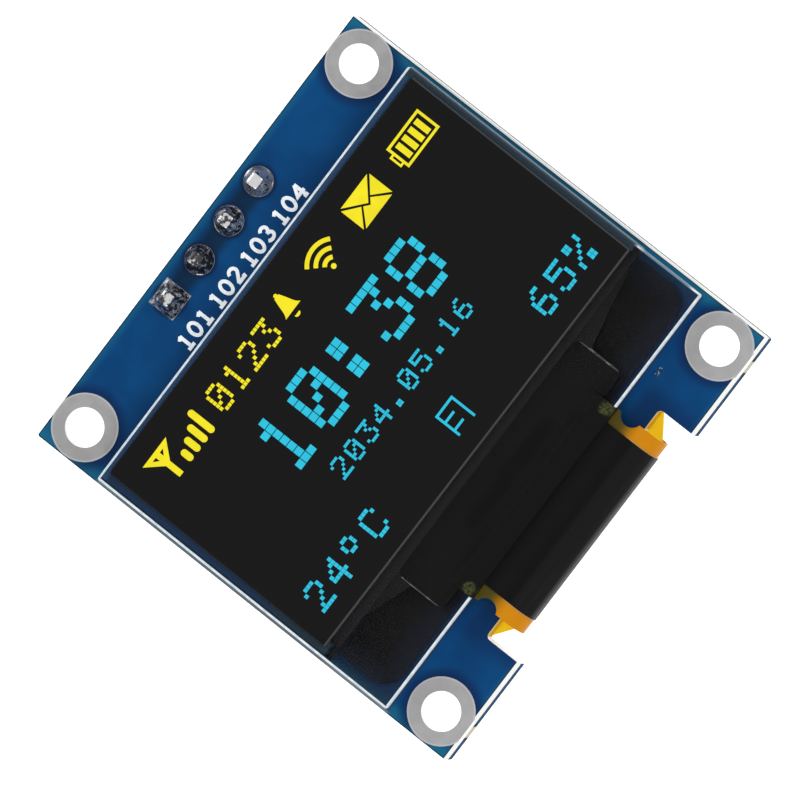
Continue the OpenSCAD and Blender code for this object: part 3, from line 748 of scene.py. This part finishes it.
def glass_finish():
    """Clear dark glass with ground edges: a pale line, the ground edge with a painted highlight, runs inside each
    edge, on the right only along the ledge. The margins and the ground bevels are painted nearly opaque in the
    blue and slate that show through them as if lit, with a painted shadow line inside the left edge. The foot's
    edge is painted black where the flex goes under it, as painted shade."""
    make = Finish("clear_dark_glass")
    left, right = make.x - GLASS_LOW[0], GLASS_HIGH[0] - make.x
    top, foot = GLASS_HIGH[1] - make.y, make.y - GLASS_LOW[1]
    ledge = make.y.under(LEDGE_Y + 0.1, LEDGE_Y + 0.4)
    above = 1 - ledge
    upper = make.z.over(GLASS_LOW[2] + 0.3, GLASS_LOW[2] + 0.36)
    flex = make.x.within(FLEX_MID - FLEX_HALF, FLEX_MID + FLEX_HALF, 0.08) * foot.under(0.9, 1.7)
    patch = distance(abs(make.x - FLEX_MID) - (FLEX_HALF - 0.32), foot - 0.34)
    glue = (patch + (make.noise(0.5) - 0.5) * 0.3).under(0.26, 0.44)
    # painted highlight: sides, right_line and rim make the pale line along the ground edges
    sides = left.under(0.12, 0.16).most(top.under(0.12, 0.15)).most(foot.under(0.1, 0.12))
    right_line = right.under(0.07, 0.1) * ledge
    rim = sides.most(right_line) * upper
    # dull marks the ground bevels. They and the margins, blue and slate, are painted nearly opaque in the colours
    # that show through them, as if lit
    dull = make.steepness().under(0.93, 0.98) * (1 - rim)
    blue = left.under(0.9, 0.94).most(top.under(0.6, 0.64)) * above
    slate = right.under(0.4, 0.5) * above
    chips = make.noise(0.35, 3, 0.6).over(0.3, 0.7)
    colour = make.layers(
        tint(6, 8, 10),
        (blue, make.blend(make.y.over(-4, 0), tint(42, 60, 72), tint(33, 58, 88))),
        # painted light: the top margin is lighter; painted shadow: a dark line inside the left edge
        (blue * top.under(0.4, 0.45), tint(48, 78, 114)),
        (blue * left.under(0.2, 0.26), tint(10, 26, 46)),
        (slate, tint(48, 64, 76)),
        (dull, tint(30, 56, 78)),
        (dull * right.under(0.12, 0.16) * upper, tint(42, 58, 68)),
        (rim, make.blend(chips, tint(206, 222, 232), tint(244, 250, 252))),
        # painted highlight: the right line is dimmer low on the ledge
        (right_line * (1 - sides) * foot.within(0.9, 3.6, 0.5), tint(112, 136, 156)),
        # painted shade: the foot's edge is painted black and opaque over the flex
        (flex, grey(16)),
        (flex * glue * make.noise(0.16).over(0.3, 0.6), tint(70, 74, 42)),
    )
    opaque = (rim.most(dull) * 0.96).most(flex).most(blue.most(slate) * 0.7)
    return make.surface(colour, 0.1 + opaque * 0.3 + flex * 0.5, 0.1, alpha=0.12 + opaque * 0.88)


def screen_finish(colours):
    """Polarizer film: nearly black, faintly uneven, with a thin grey line along its foot and its side edges."""
    make = Finish("polarizer_film")
    across, along = make.x - make.y * FILM_SKEW, make.y + make.x * FILM_SKEW
    foot, left, right = along - FILM_SOUTH_WEST[1], across - FILM_SOUTH_WEST[0], FILM_NORTH_EAST[0] - across
    line = foot.under(0.07, 0.11).most(left.under(0.04, 0.07) * 0.2).most(right.under(0.05, 0.08) * 0.9)
    colour = make.layers(chosen(colours.dark), (make.noise(5) * 0.4, tint(23, 22, 24)),
                         (line, tint(70, 72, 73)))
    return make.surface(colour, 0.38, 0.06, relief=(make.noise(0.08, 2), 0.0006))


def seal_finish():
    """Glue between the glasses: blue-grey at the sides, and along the ledge the grey of the conductors that
    cross it."""
    make = Finish("seal_glue_line")
    colour = make.layers(
        make.blend(make.noise(1.2), tint(58, 94, 150), tint(50, 82, 132)),
        (make.y.under(LEDGE_Y + 0.9, LEDGE_Y + 1.2), grey(40)),
    )
    return make.surface(colour, 0.5, 0.2)


def cap_finish():
    """Rear glass: dark, with a pale ground edge on the right."""
    make = Finish("cap_glass_dark")
    pale = make.steepness().under(0.3, 0.6) * (GLASS_HIGH[0] - make.x).under(0.02, 0.05)
    colour = make.layers(tint(24, 34, 46), (make.noise(2.5), tint(34, 46, 60)), (pale, tint(132, 152, 160)))
    return make.surface(colour, 0.3, 0.15)


def foam_finish():
    """Black foam, painted slate blue towards the corners of the ledge, as painted light for the light that gets
    in under the glass's edges.
    """
    make = Finish("foam_black")
    margin = (make.x - GLASS_LOW[0]).least(GLASS_HIGH[0] - make.x).least(make.y - GLASS_LOW[1])
    cells = make.blend(make.noise(0.3).over(0.3, 0.7), tint(19, 19, 20), tint(24, 24, 25))
    # painted light: slate blue near the glass's edges
    return make.surface(make.layers(cells, (margin.under(0.5, 2.2) * 0.9, tint(36, 40, 52))), 0.9, 0.2,
                        relief=(make.noise(0.1, 2), 0.005))


class OLED_OT_panel(bpy.types.Operator):
    """Finish the two glasses, the glue, the light layer and the foam, and make the polarizer film"""

    bl_idname = "oled.panel"
    bl_label = "Display panel"

    def execute(self, context):
        colours, sizes = context.scene.oled_colours, context.scene.oled_sizes
        bevel = sizes.film_bevel / MM
        top = LIT_Z[0]
        turn = np.array([[1, -FILM_SKEW], [FILM_SKEW, 1]])
        outlines = [rounded(FILM_SOUTH_WEST, FILM_NORTH_EAST, 0.15, step) @ turn
                    for step in (0, 0, bevel / 3, bevel)]
        film = skin(raised(outlines, [FILM_LOW[2], top - bevel, top - bevel / 3, top]))
        add_piece("polarizer_film", film, screen_finish(colours), ["polarizer"])
        rear, face = GLASS_LOW[2] + 0.012, GLASS_HIGH[2] - 0.001
        outlines = [rounded(GLASS_LOW, GLASS_HIGH, 0.12, step) for step in (GROUND, 0, 0, GROUND)]
        glass = skin(raised(outlines, [rear, rear + GROUND, face - GROUND, face]))
        add_piece("front_glass", glass, glass_finish(), ["substrate_glass"])
        dress(["edge_seal"], seal_finish())
        dress(["cap_glass"], cap_finish())
        dress(["emitter_layer"], plain_finish("light_layer", tint(26, 25, 30), tint(34, 32, 38), 2.0, 0.3))
        dress(["foam_pad"], foam_finish())
        return {"FINISHED"}


# ---- lit screen

GLYPHS = {
    "0": "01110 10001 10011 10101 11001 10001 01110",
    "1": "00100 01100 00100 00100 00100 00100 01110",
    "2": "01110 10001 00001 00010 00100 01000 11111",
    "3": "11111 00010 00100 00010 00001 10001 01110",
    "4": "00010 00110 01010 10010 11111 00010 00010",
    "5": "11111 10000 11110 00001 00001 10001 01110",
    "6": "00110 01000 10000 11110 10001 10001 01110",
    "8": "01110 10001 10001 01110 10001 10001 01110",
    ":": "00000 01100 01100 00000 01100 01100 00000",
    ".": "00000 00000 00000 00000 00000 01100 01100",
    "%": "11001 11001 00010 00100 01000 10011 10011",
    "*": "01100 10010 10010 01100 00000 00000 00000",
    "C": "01110 10001 10000 10000 10000 10001 01110",
}


def on_screen(points):
    """Points measured right and down from the lit area's upper left corner, in the frame of the CAD."""
    points = np.asarray(points, float)
    return np.column_stack([LIT_LOW[0] + points[:, 0], LIT_HIGH[1] - points[:, 1]])


def dots(text, corner, pitch, cell, gap):
    """Lit dots of a line of characters: the dot in row r and column c of character n starts at corner plus n
    cells plus c and r pitches, and is a pitch less the gap wide."""
    start = []
    for place, sign in enumerate(text):
        row, column = np.nonzero(np.array([[mark == "1" for mark in line] for line in GLYPHS[sign].split()]))
        start.append(np.column_stack([corner[0] + place * cell + column * pitch[0],
                                      corner[1] + row * pitch[1]]))
    start = np.concatenate(start) + gap / 2
    upper_left, lower_right = on_screen(start), on_screen(start + np.array(pitch) - gap)
    low = np.column_stack([upper_left[:, 0], lower_right[:, 1]])
    high = np.column_stack([lower_right[:, 0], upper_left[:, 1]])
    return [blocks(low, high, *LIT_Z)]


def line(path, width, loop=False):
    """A lit line on the screen."""
    return ribbon(on_screen(path), width, *LIT_Z, loop)


def patch(outline):
    """A lit patch on the screen: its outline carried straight up."""
    return skin(raised([on_screen(outline)] * 2, LIT_Z))


def lit_finish(name, colour):
    """Light of one colour, a little uneven from dot to dot."""
    make = Finish(name)
    dimmed = tuple(0.92 * c for c in colour[:3]) + (1.0,)
    return make.surface(BLACK, 0.9, 0.0, glow=make.blend(make.noise(0.8).over(0.35, 0.65), colour, dimmed))


def light(material, pieces):
    """Adds lit pieces, each a name and its solids."""
    for name, solids in pieces.items():
        add_piece(name, together(solids), material)


def mast():
    return [line([(0.46, 0.4), (1.9, 0.4), (1.18, 1.18)], 0.3, True), line([(1.18, 0.32), (1.18, 2.12)], 0.34)]


def bars():
    """Four bars of signal, each taller than the one before."""
    return [patch(rounded((1.94 + 0.606 * i, top), (2.33 + 0.606 * i, 2.12), 0.19))
            for i, top in enumerate((1.37, 1.12, 0.85, 0.41))]


def bell():
    """A bell: its half width runs from the shoulder to the mouth as a quarter wave, then flares."""
    middle = 11.41
    down = np.linspace(0, 1, 12)
    half = 0.17 + 0.25 * np.sin(down * math.pi / 2) + 0.2 * down ** 6
    right, left = (np.column_stack([middle + side * half, 0.48 + 1.12 * down]) for side in (1, -1))
    return [patch(np.vstack([right, left[::-1]])), patch(arc((middle, 0.42), (0.12, 0.12), 0, 340, 12)),
            patch(arc((middle, 1.86), (0.2, 0.16), 0, 180, 9))]


def rays():
    """Three arcs of radio waves over a dot."""
    waves = [line(arc((14.49, 1.91), (r, -r), 46, 134, 16), 0.24) for r in (0.48, 0.95, 1.42)]
    return waves + [patch(arc((14.49, 1.9), (0.15, 0.15), 0, 340, 16))]


def envelope():
    """The four triangles of a closed letter, parted by dark lines."""
    sides = [
        [(0.1, 0), (2.34, 0), (1.22, 0.97)],
        [(0.12, 1.69), (0.92, 0.87), (1.22, 1.13), (1.52, 0.87), (2.32, 1.69)],
        [(0, 0.1), (0.84, 0.8), (0, 1.62)],
        [(2.44, 0.1), (1.6, 0.8), (2.44, 1.62)],
    ]
    return [patch(np.array(side) + (16.92, 0.385)) for side in sides]


def battery():
    """A battery's outline and cap, with four full cells."""
    outline = line([(20.93, 0.5), (23.42, 0.5), (23.42, 1.86), (20.93, 1.86)], 0.15, True)
    cap = line([(20.87, 0.89), (20.67, 0.89), (20.67, 1.55), (20.87, 1.55)], 0.12)
    cells = [patch([(x, 0.72), (x + 0.34, 0.72), (x + 0.34, 1.66), (x, 1.66)])
             for x in 21.24 + 0.512 * np.arange(4)]
    return [outline, cap, *cells]


def list_sign():
    """A bracket open at its foot, with two short lines."""
    bracket = line([(11.68, 12.43), (11.68, 10.9), (12.95, 10.9), (12.95, 12.43)], 0.14)
    return [bracket] + [line([(11.75, y), (12.45, y)], 0.14) for y in (11.44, 12.06)]


class OLED_OT_upper_row(bpy.types.Operator):
    """Light the signs of the screen's upper strip"""

    bl_idname = "oled.upper_row"
    bl_label = "Upper lit row"

    def execute(self, context):
        light(lit_finish("light_yellow", chosen(context.scene.oled_colours.lit_yellow)), {
            "lit_mast": mast(),
            "lit_bars": bars(),
            "lit_count": dots("0123", (5.01, 0.51), (0.216, 0.218), 1.354, 0.03),
            "lit_bell": bell(),
            "lit_rays": rays(),
            "lit_envelope": envelope(),
            "lit_battery": battery(),
        })
        return {"FINISHED"}


class OLED_OT_lower_rows(bpy.types.Operator):
    """Light the clock, the date and the foot line of the screen"""

    bl_idname = "oled.lower_rows"
    bl_label = "Lower lit rows"

    def execute(self, context):
        gap = context.scene.oled_sizes.dot_gap / MM
        foot_line = ((0.225, 0.232), 1.558, 0.02)
        light(lit_finish("light_cyan", chosen(context.scene.oled_colours.lit_cyan)), {
            "lit_clock": dots("10:38", (4.71, 3.71), (0.466, 0.466), 2.796, gap),
            "lit_date": dots("2034.05.16", (6.175, 7.95), (0.17, 0.164), 1.139, 0.012),
            "lit_degrees": dots("24*C", (0.14, 10.81), *foot_line),
            "lit_share": dots("65%", (19.17, 10.81), *foot_line),
            "lit_list": list_sign(),
        })
        return {"FINISHED"}


# ---- ledge


def fan_surface():
    """The fan of conductors on the ledge: u runs across and v down. Its left edge keeps to the glass and then
    slopes inwards, its right edge does the same more flatly, and u divides the width between them evenly."""
    v = np.linspace(0, 1, 40)[:, None]
    u = np.linspace(0, 1, 33)[None, :]
    y = LEDGE_Y + 1.0 - 3.0 * v
    left = np.maximum(-12.95, -10.64 - 2.727 * (y + 5.71))
    right = np.minimum(13.1, 11.96 + 4.667 * (y + 5.91))
    x = left + (right - left) * u
    under, over = (np.stack([x, y + 0 * u, np.full(x.shape, z)], axis=2) for z in (1.96, 1.985))
    return skin(np.concatenate([over, under[:, ::-1]], axis=1))


def fan_finish():
    """Fine parallel conductors, seen as faint stripes that lean inwards on both sides."""
    make = Finish("conductor_fan")
    stripes = (make.x / (1 + (LEDGE_Y - make.y) * 0.12) * 26).sine()
    return make.surface(make.blend(stripes.over(-0.6, 0.6) * 0.5, tint(37, 37, 36), grey(32)), 0.45, 0.1)


def cover_finish():
    """Black film over the chip: its upright edges catch the light in broken specks."""
    make = Finish("chip_cover_film")
    edge = (make.x - COVER_LOW[0]).least(COVER_HIGH[0] - make.x)
    broken = make.noise(0.35, 2, 0.5, (0.2, 1, 1)).over(0.5, 0.62)
    line = edge.under(0.05, 0.08) * make.y.within(COVER_LOW[1] + 0.3, COVER_HIGH[1] - 0.35, 0.2)
    colour = make.layers(grey(20), (make.noise(2.5) * 0.4, tint(24, 23, 23)),
                         (line * (0.3 + broken * 0.7), tint(160, 160, 158)))
    return make.surface(colour, 0.5, 0.1, relief=(make.noise(0.4), 0.004))


class OLED_OT_ledge(bpy.types.Operator):
    """Finish the driver chip and its cover, and lay the fan of conductors on the ledge"""

    bl_idname = "oled.ledge"
    bl_label = "Ledge"

    def execute(self, context):
        dress(["driver_chip"], plain_finish("chip_silicon_grey", grey(20), grey(23), 0.8, 0.6, specular=0.05))
        dress(["chip_cover"], cover_finish())
        add_piece("conductor_fan", fan_surface(), fan_finish())
        return {"FINISHED"}


# ---- flex


def flex_finish(colours):
    """Amber film: painted browner where it leaves the glass, as painted shade, so it is brighter at the fold;
    yellow and striped on the tail, with a painted glow near the notch for light that comes through the film.
    """
    make = Finish("flex_polyimide")
    bond = make.y.over(TAPE_HIGH[1], TAPE_HIGH[1] + 0.05)
    rear = make.z.under(0.1, 0.4)
    stripes = (make.x * (2 * math.pi / 0.62)).sine()
    tape_half = (TAPE_HIGH[0] - TAPE_LOW[0]) / 2
    edge = abs(make.x - FLEX_MID).under(tape_half + 0.05, tape_half + 0.08)
    edge = edge * make.y.under(-11.3, -10.9) * make.z.over(0.6, 0.8)
    tail = make.blend(stripes.over(-0.3, 0.5) * make.y.over(-11.6, -11.0) * 0.75, chosen(colours.yellow_film),
                      tint(196, 128, 30))
    colour = make.layers(
        # painted shade: the olive brown ground near the glass
        tint(78, 72, 16),
        (make.y.under(-11.5, -10.4), chosen(colours.amber)),
        (edge * 0.8, tint(214, 168, 112)),
        (make.noise(0.7) * 0.12, tint(140, 80, 4)),
        (rear, tail),
        (bond * make.z.over(1.5, 1.8), grey(14)),
    )
    # painted light: the tail near the notch glows, for the light that comes through the film
    lit_through = rear * make.y.under(NOTCH_Y - 0.1, NOTCH_Y + 0.1)
    return make.surface(colour, 0.34, 0.12, relief=(make.noise(0.3), 0.003),
                        glow=make.blend(lit_through, BLACK, tint(168, 138, 16)))


def tape_finish():
    """Black tape, painted lighter near the glass, with faint painted sheen in bands across it towards the fold,
    and a painted grey highlight at the fold itself.
    """
    make = Finish("flex_tape_black")
    bands = make.noise(0.55, 3, 0.6, (0.05, 1, 1)).over(0.45, 0.7)
    fold = make.y.within(-12.6, -11.7, 0.35) * make.z.over(0.8, 1.3)
    colour = make.layers(
        grey(12),
        # painted light: lighter near the glass; then painted sheen in bands towards the fold, and painted
        # highlights as grey lines at the fold
        (make.y.over(-11.4, -10.3), tint(19, 19, 20)),
        (fold * (0.5 + bands * 0.5), tint(32, 30, 31)),
        (make.y.under(TAPE_LOW[1] + 0.12, TAPE_LOW[1] + 0.22), grey(60)),
        (make.y.under(TAPE_LOW[1] + 0.04, TAPE_LOW[1] + 0.1), grey(92)),
    )
    return make.surface(colour, 0.55, 0.06, relief=(make.noise(0.5, 3, 0.5, (0.3, 1, 1)), 0.003))


class OLED_OT_flex(bpy.types.Operator):
    """Finish the folded flex, its tape and its soldered contacts"""

    bl_idname = "oled.flex"
    bl_label = "Flex"

    def execute(self, context):
        colours = context.scene.oled_colours
        dress(["flex"], flex_finish(colours))
        dress(["flex_tape"], tape_finish())
        dress(["flex_solder", "rear_solder"], solder_finish(colours, "rear_joint_solder"))
        return {"FINISHED"}


# ---- rear parts


def resistor_finish():
    """White ceramic with a black glaze on its rear face."""
    make = Finish("resistor_ceramic")
    glaze = make.z.under(-0.5, -0.47)
    ceramic = make.blend(make.noise(0.2), tint(232, 230, 224), tint(212, 210, 204))
    return make.surface(make.blend(glaze, ceramic, tint(24, 24, 26)), 0.6 - glaze * 0.3, 0.4,
                        relief=(make.noise(0.08, 2), 0.003))


def diode_finish():
    """Black moulded body with a grey band at one end."""
    make = Finish("diode_moulding")
    end = box_of("diode_body")[0][0]
    band = make.x.within(end + 0.22, end + 0.5, 0.02) * make.steepness().over(0.8, 0.95)
    body = make.blend(make.noise(0.3), tint(27, 27, 28), tint(36, 36, 37))
    return make.surface(make.blend(band, body, tint(176, 176, 172)), 0.55, 0.35,
                        relief=(make.noise(0.06, 2), 0.005))


class OLED_OT_rear_parts(bpy.types.Operator):
    """Finish the small parts soldered on the rear face"""

    bl_idname = "oled.rear_parts"
    bl_label = "Rear parts"

    def execute(self, context):
        dress(like("resistor", 8), resistor_finish())
        dress(like("capacitor", 7),
              plain_finish("capacitor_ceramic", tint(176, 140, 100), tint(150, 116, 80), 0.3, 0.5))
        dress(["resistor_ends", "capacitor_ends", "regulator_leads", "diode_leads"],
              plain_finish("tinned_ends", tint(206, 205, 202), tint(180, 179, 177), 0.25, 0.3, 0.9,
                           depth=0.006))
        dress(["regulator_body"],
              plain_finish("regulator_moulding", tint(26, 26, 27), tint(35, 35, 36), 0.3, 0.56, depth=0.005))
        dress(["diode_body"], diode_finish())
        return {"FINISHED"}


# ---- stage

FLOOR_HALF, FLOOR_GAP, FLOOR_POINTS = 900.0, 0.02, 9
LAMP_PLACES = ((205, 30), (-32, 32), (88, 34))  # direction from the board's right edge and height, in degrees
LAMP_SIZE, LAMP_AWAY = 0.2, 0.42  # in metres
AIM = (-0.527, -0.401, BOARD_HIGH[2])


def seen_white(tree, plain, white):
    """Shader that is plain, and white for rays from the camera, for reflections and for what is seen through
    glass."""
    path = tree.node("ShaderNodeLightPath", output="Is Camera Ray")
    seen = path.most(path.of("Is Glossy Ray")).most(path.of("Is Transmission Ray"))
    return tree.node("ShaderNodeMixShader", sockets={0: seen, 1: plain, 2: white})


def towards(side, height):
    """Unit vector in a direction from the board's right edge, at a height above the board."""
    return Vector((math.cos(side) * math.cos(height), math.sin(side) * math.cos(height), math.sin(height)))


class OLED_OT_stage(bpy.types.Operator):
    """Set the floor, the soft lamps, the surrounding light and the camera"""

    bl_idname = "oled.stage"
    bl_label = "Stage"

    def execute(self, context):
        scene, stage = context.scene, context.scene.oled_stage
        self.floor(scene)
        self.sky(scene, stage.sky)
        for side, height in LAMP_PLACES:
            self.lamp(scene, math.radians(side), math.radians(height), stage.lamp)
        self.camera(scene, stage)
        scene.view_settings.view_transform = "Standard"
        return {"FINISHED"}

    def floor(self, scene):
        """A wide pale floor under the pins. It shows white, and a soft shadow where little light reaches it."""
        u = np.linspace(-1, 1, FLOOR_POINTS)[None, :] + np.zeros((FLOOR_POINTS, 1))
        z = np.full(u.shape, CAD_BOX[0][2] / MM - FLOOR_GAP)
        points = np.stack([u * FLOOR_HALF, u.T * FLOOR_HALF, z], axis=2).reshape(-1, 3)
        mesh = bpy.data.meshes.new("floor")
        faces = grid_faces(FLOOR_POINTS, FLOOR_POINTS, round_columns=False)
        mesh.from_pydata((points * MM).tolist(), [], faces)
        make = Finish("floor_paper")
        paper = make.node("ShaderNodeBsdfDiffuse", sockets={"Color": (0.9, 0.9, 0.9, 1)})
        glow = make.node("ShaderNodeEmission", sockets={"Color": WHITE, "Strength": 0.72})
        both = make.node("ShaderNodeAddShader", sockets={0: paper, 1: glow})
        make.end(seen_white(make, paper, both))
        mesh.materials.append(make.material)
        floor = bpy.data.objects.new("floor", mesh)
        scene.collection.objects.link(floor)

    def sky(self, scene, strength):
        """Plain light from all sides, seen as white."""
        scene.world = bpy.data.worlds.new("plain_light")
        scene.world.use_nodes = True
        sky = Nodes(scene.world.node_tree)
        plain, white = (sky.node("ShaderNodeBackground", sockets={"Color": WHITE, "Strength": level})
                        for level in (strength, 1.0))
        sky.end(seen_white(sky, plain, white), "World")

    def lamp(self, scene, side, height, brightness):
        """A square soft lamp that faces the board. Its power is brightness times pi times its area."""
        data = bpy.data.lights.new("soft_lamp", "AREA")
        data.size = LAMP_SIZE
        data.energy = brightness * math.pi * LAMP_SIZE ** 2
        lamp = bpy.data.objects.new("soft_lamp", data)
        lamp.location = towards(side, height) * LAMP_AWAY
        lamp.rotation_euler = lamp.location.to_track_quat("Z", "Y").to_euler()
        scene.collection.objects.link(lamp)

    def camera(self, scene, stage):
        """Looks at the board from tilt off the vertical; the lens is sensor times distance over width."""
        data = bpy.data.cameras.new("camera")
        data.lens = data.sensor_width * stage.distance / stage.width
        data.clip_start, data.clip_end = 0.01, 10
        camera = bpy.data.objects.new("camera", data)
        back = towards(stage.side, math.pi / 2 - stage.tilt)
        right = towards(stage.roll, 0).cross(back).normalized()
        turn = Matrix((right, back.cross(right), back)).transposed().to_4x4()
        camera.matrix_world = Matrix.Translation(Vector(AIM) * MM + back * stage.distance) @ turn
        scene.collection.objects.link(camera)
        scene.camera = camera


# ---- panel in the sidebar

STEPS = (OLED_OT_board, OLED_OT_tracks, OLED_OT_print, OLED_OT_header, OLED_OT_panel, OLED_OT_upper_row,
         OLED_OT_lower_rows, OLED_OT_ledge, OLED_OT_flex, OLED_OT_rear_parts, OLED_OT_stage)
GROUPS = {"oled_colours": OLED_PG_colours, "oled_sizes": OLED_PG_sizes, "oled_stage": OLED_PG_stage}


class OLED_PT_sidebar(bpy.types.Panel):
    """Lists the steps and the values that they use"""

    bl_idname = "OLED_PT_sidebar"
    bl_label = "Display module"
    bl_space_type = "VIEW_3D"
    bl_region_type = "UI"
    bl_category = "Display"

    def draw(self, context):
        for step in STEPS:
            self.layout.operator(step.bl_idname)
        for name in GROUPS:
            box = self.layout.box()
            group = getattr(context.scene, name)
            for value in type(group).__annotations__:
                box.prop(group, value)


def register():
    for kind in (*GROUPS.values(), *STEPS, OLED_PT_sidebar):
        bpy.utils.register_class(kind)
    for name, kind in GROUPS.items():
        setattr(bpy.types.Scene, name, bpy.props.PointerProperty(type=kind))


def unregister():
    for name in GROUPS:
        delattr(bpy.types.Scene, name)
    for kind in (OLED_PT_sidebar, *STEPS[::-1], *GROUPS.values()):
        bpy.utils.unregister_class(kind)


def main():
    """Makes every piece in order."""
    register()
    for step in STEPS:
        group, name = step.bl_idname.split(".")
        getattr(getattr(bpy.ops, group), name)()


if __name__ == "__main__":
    main()
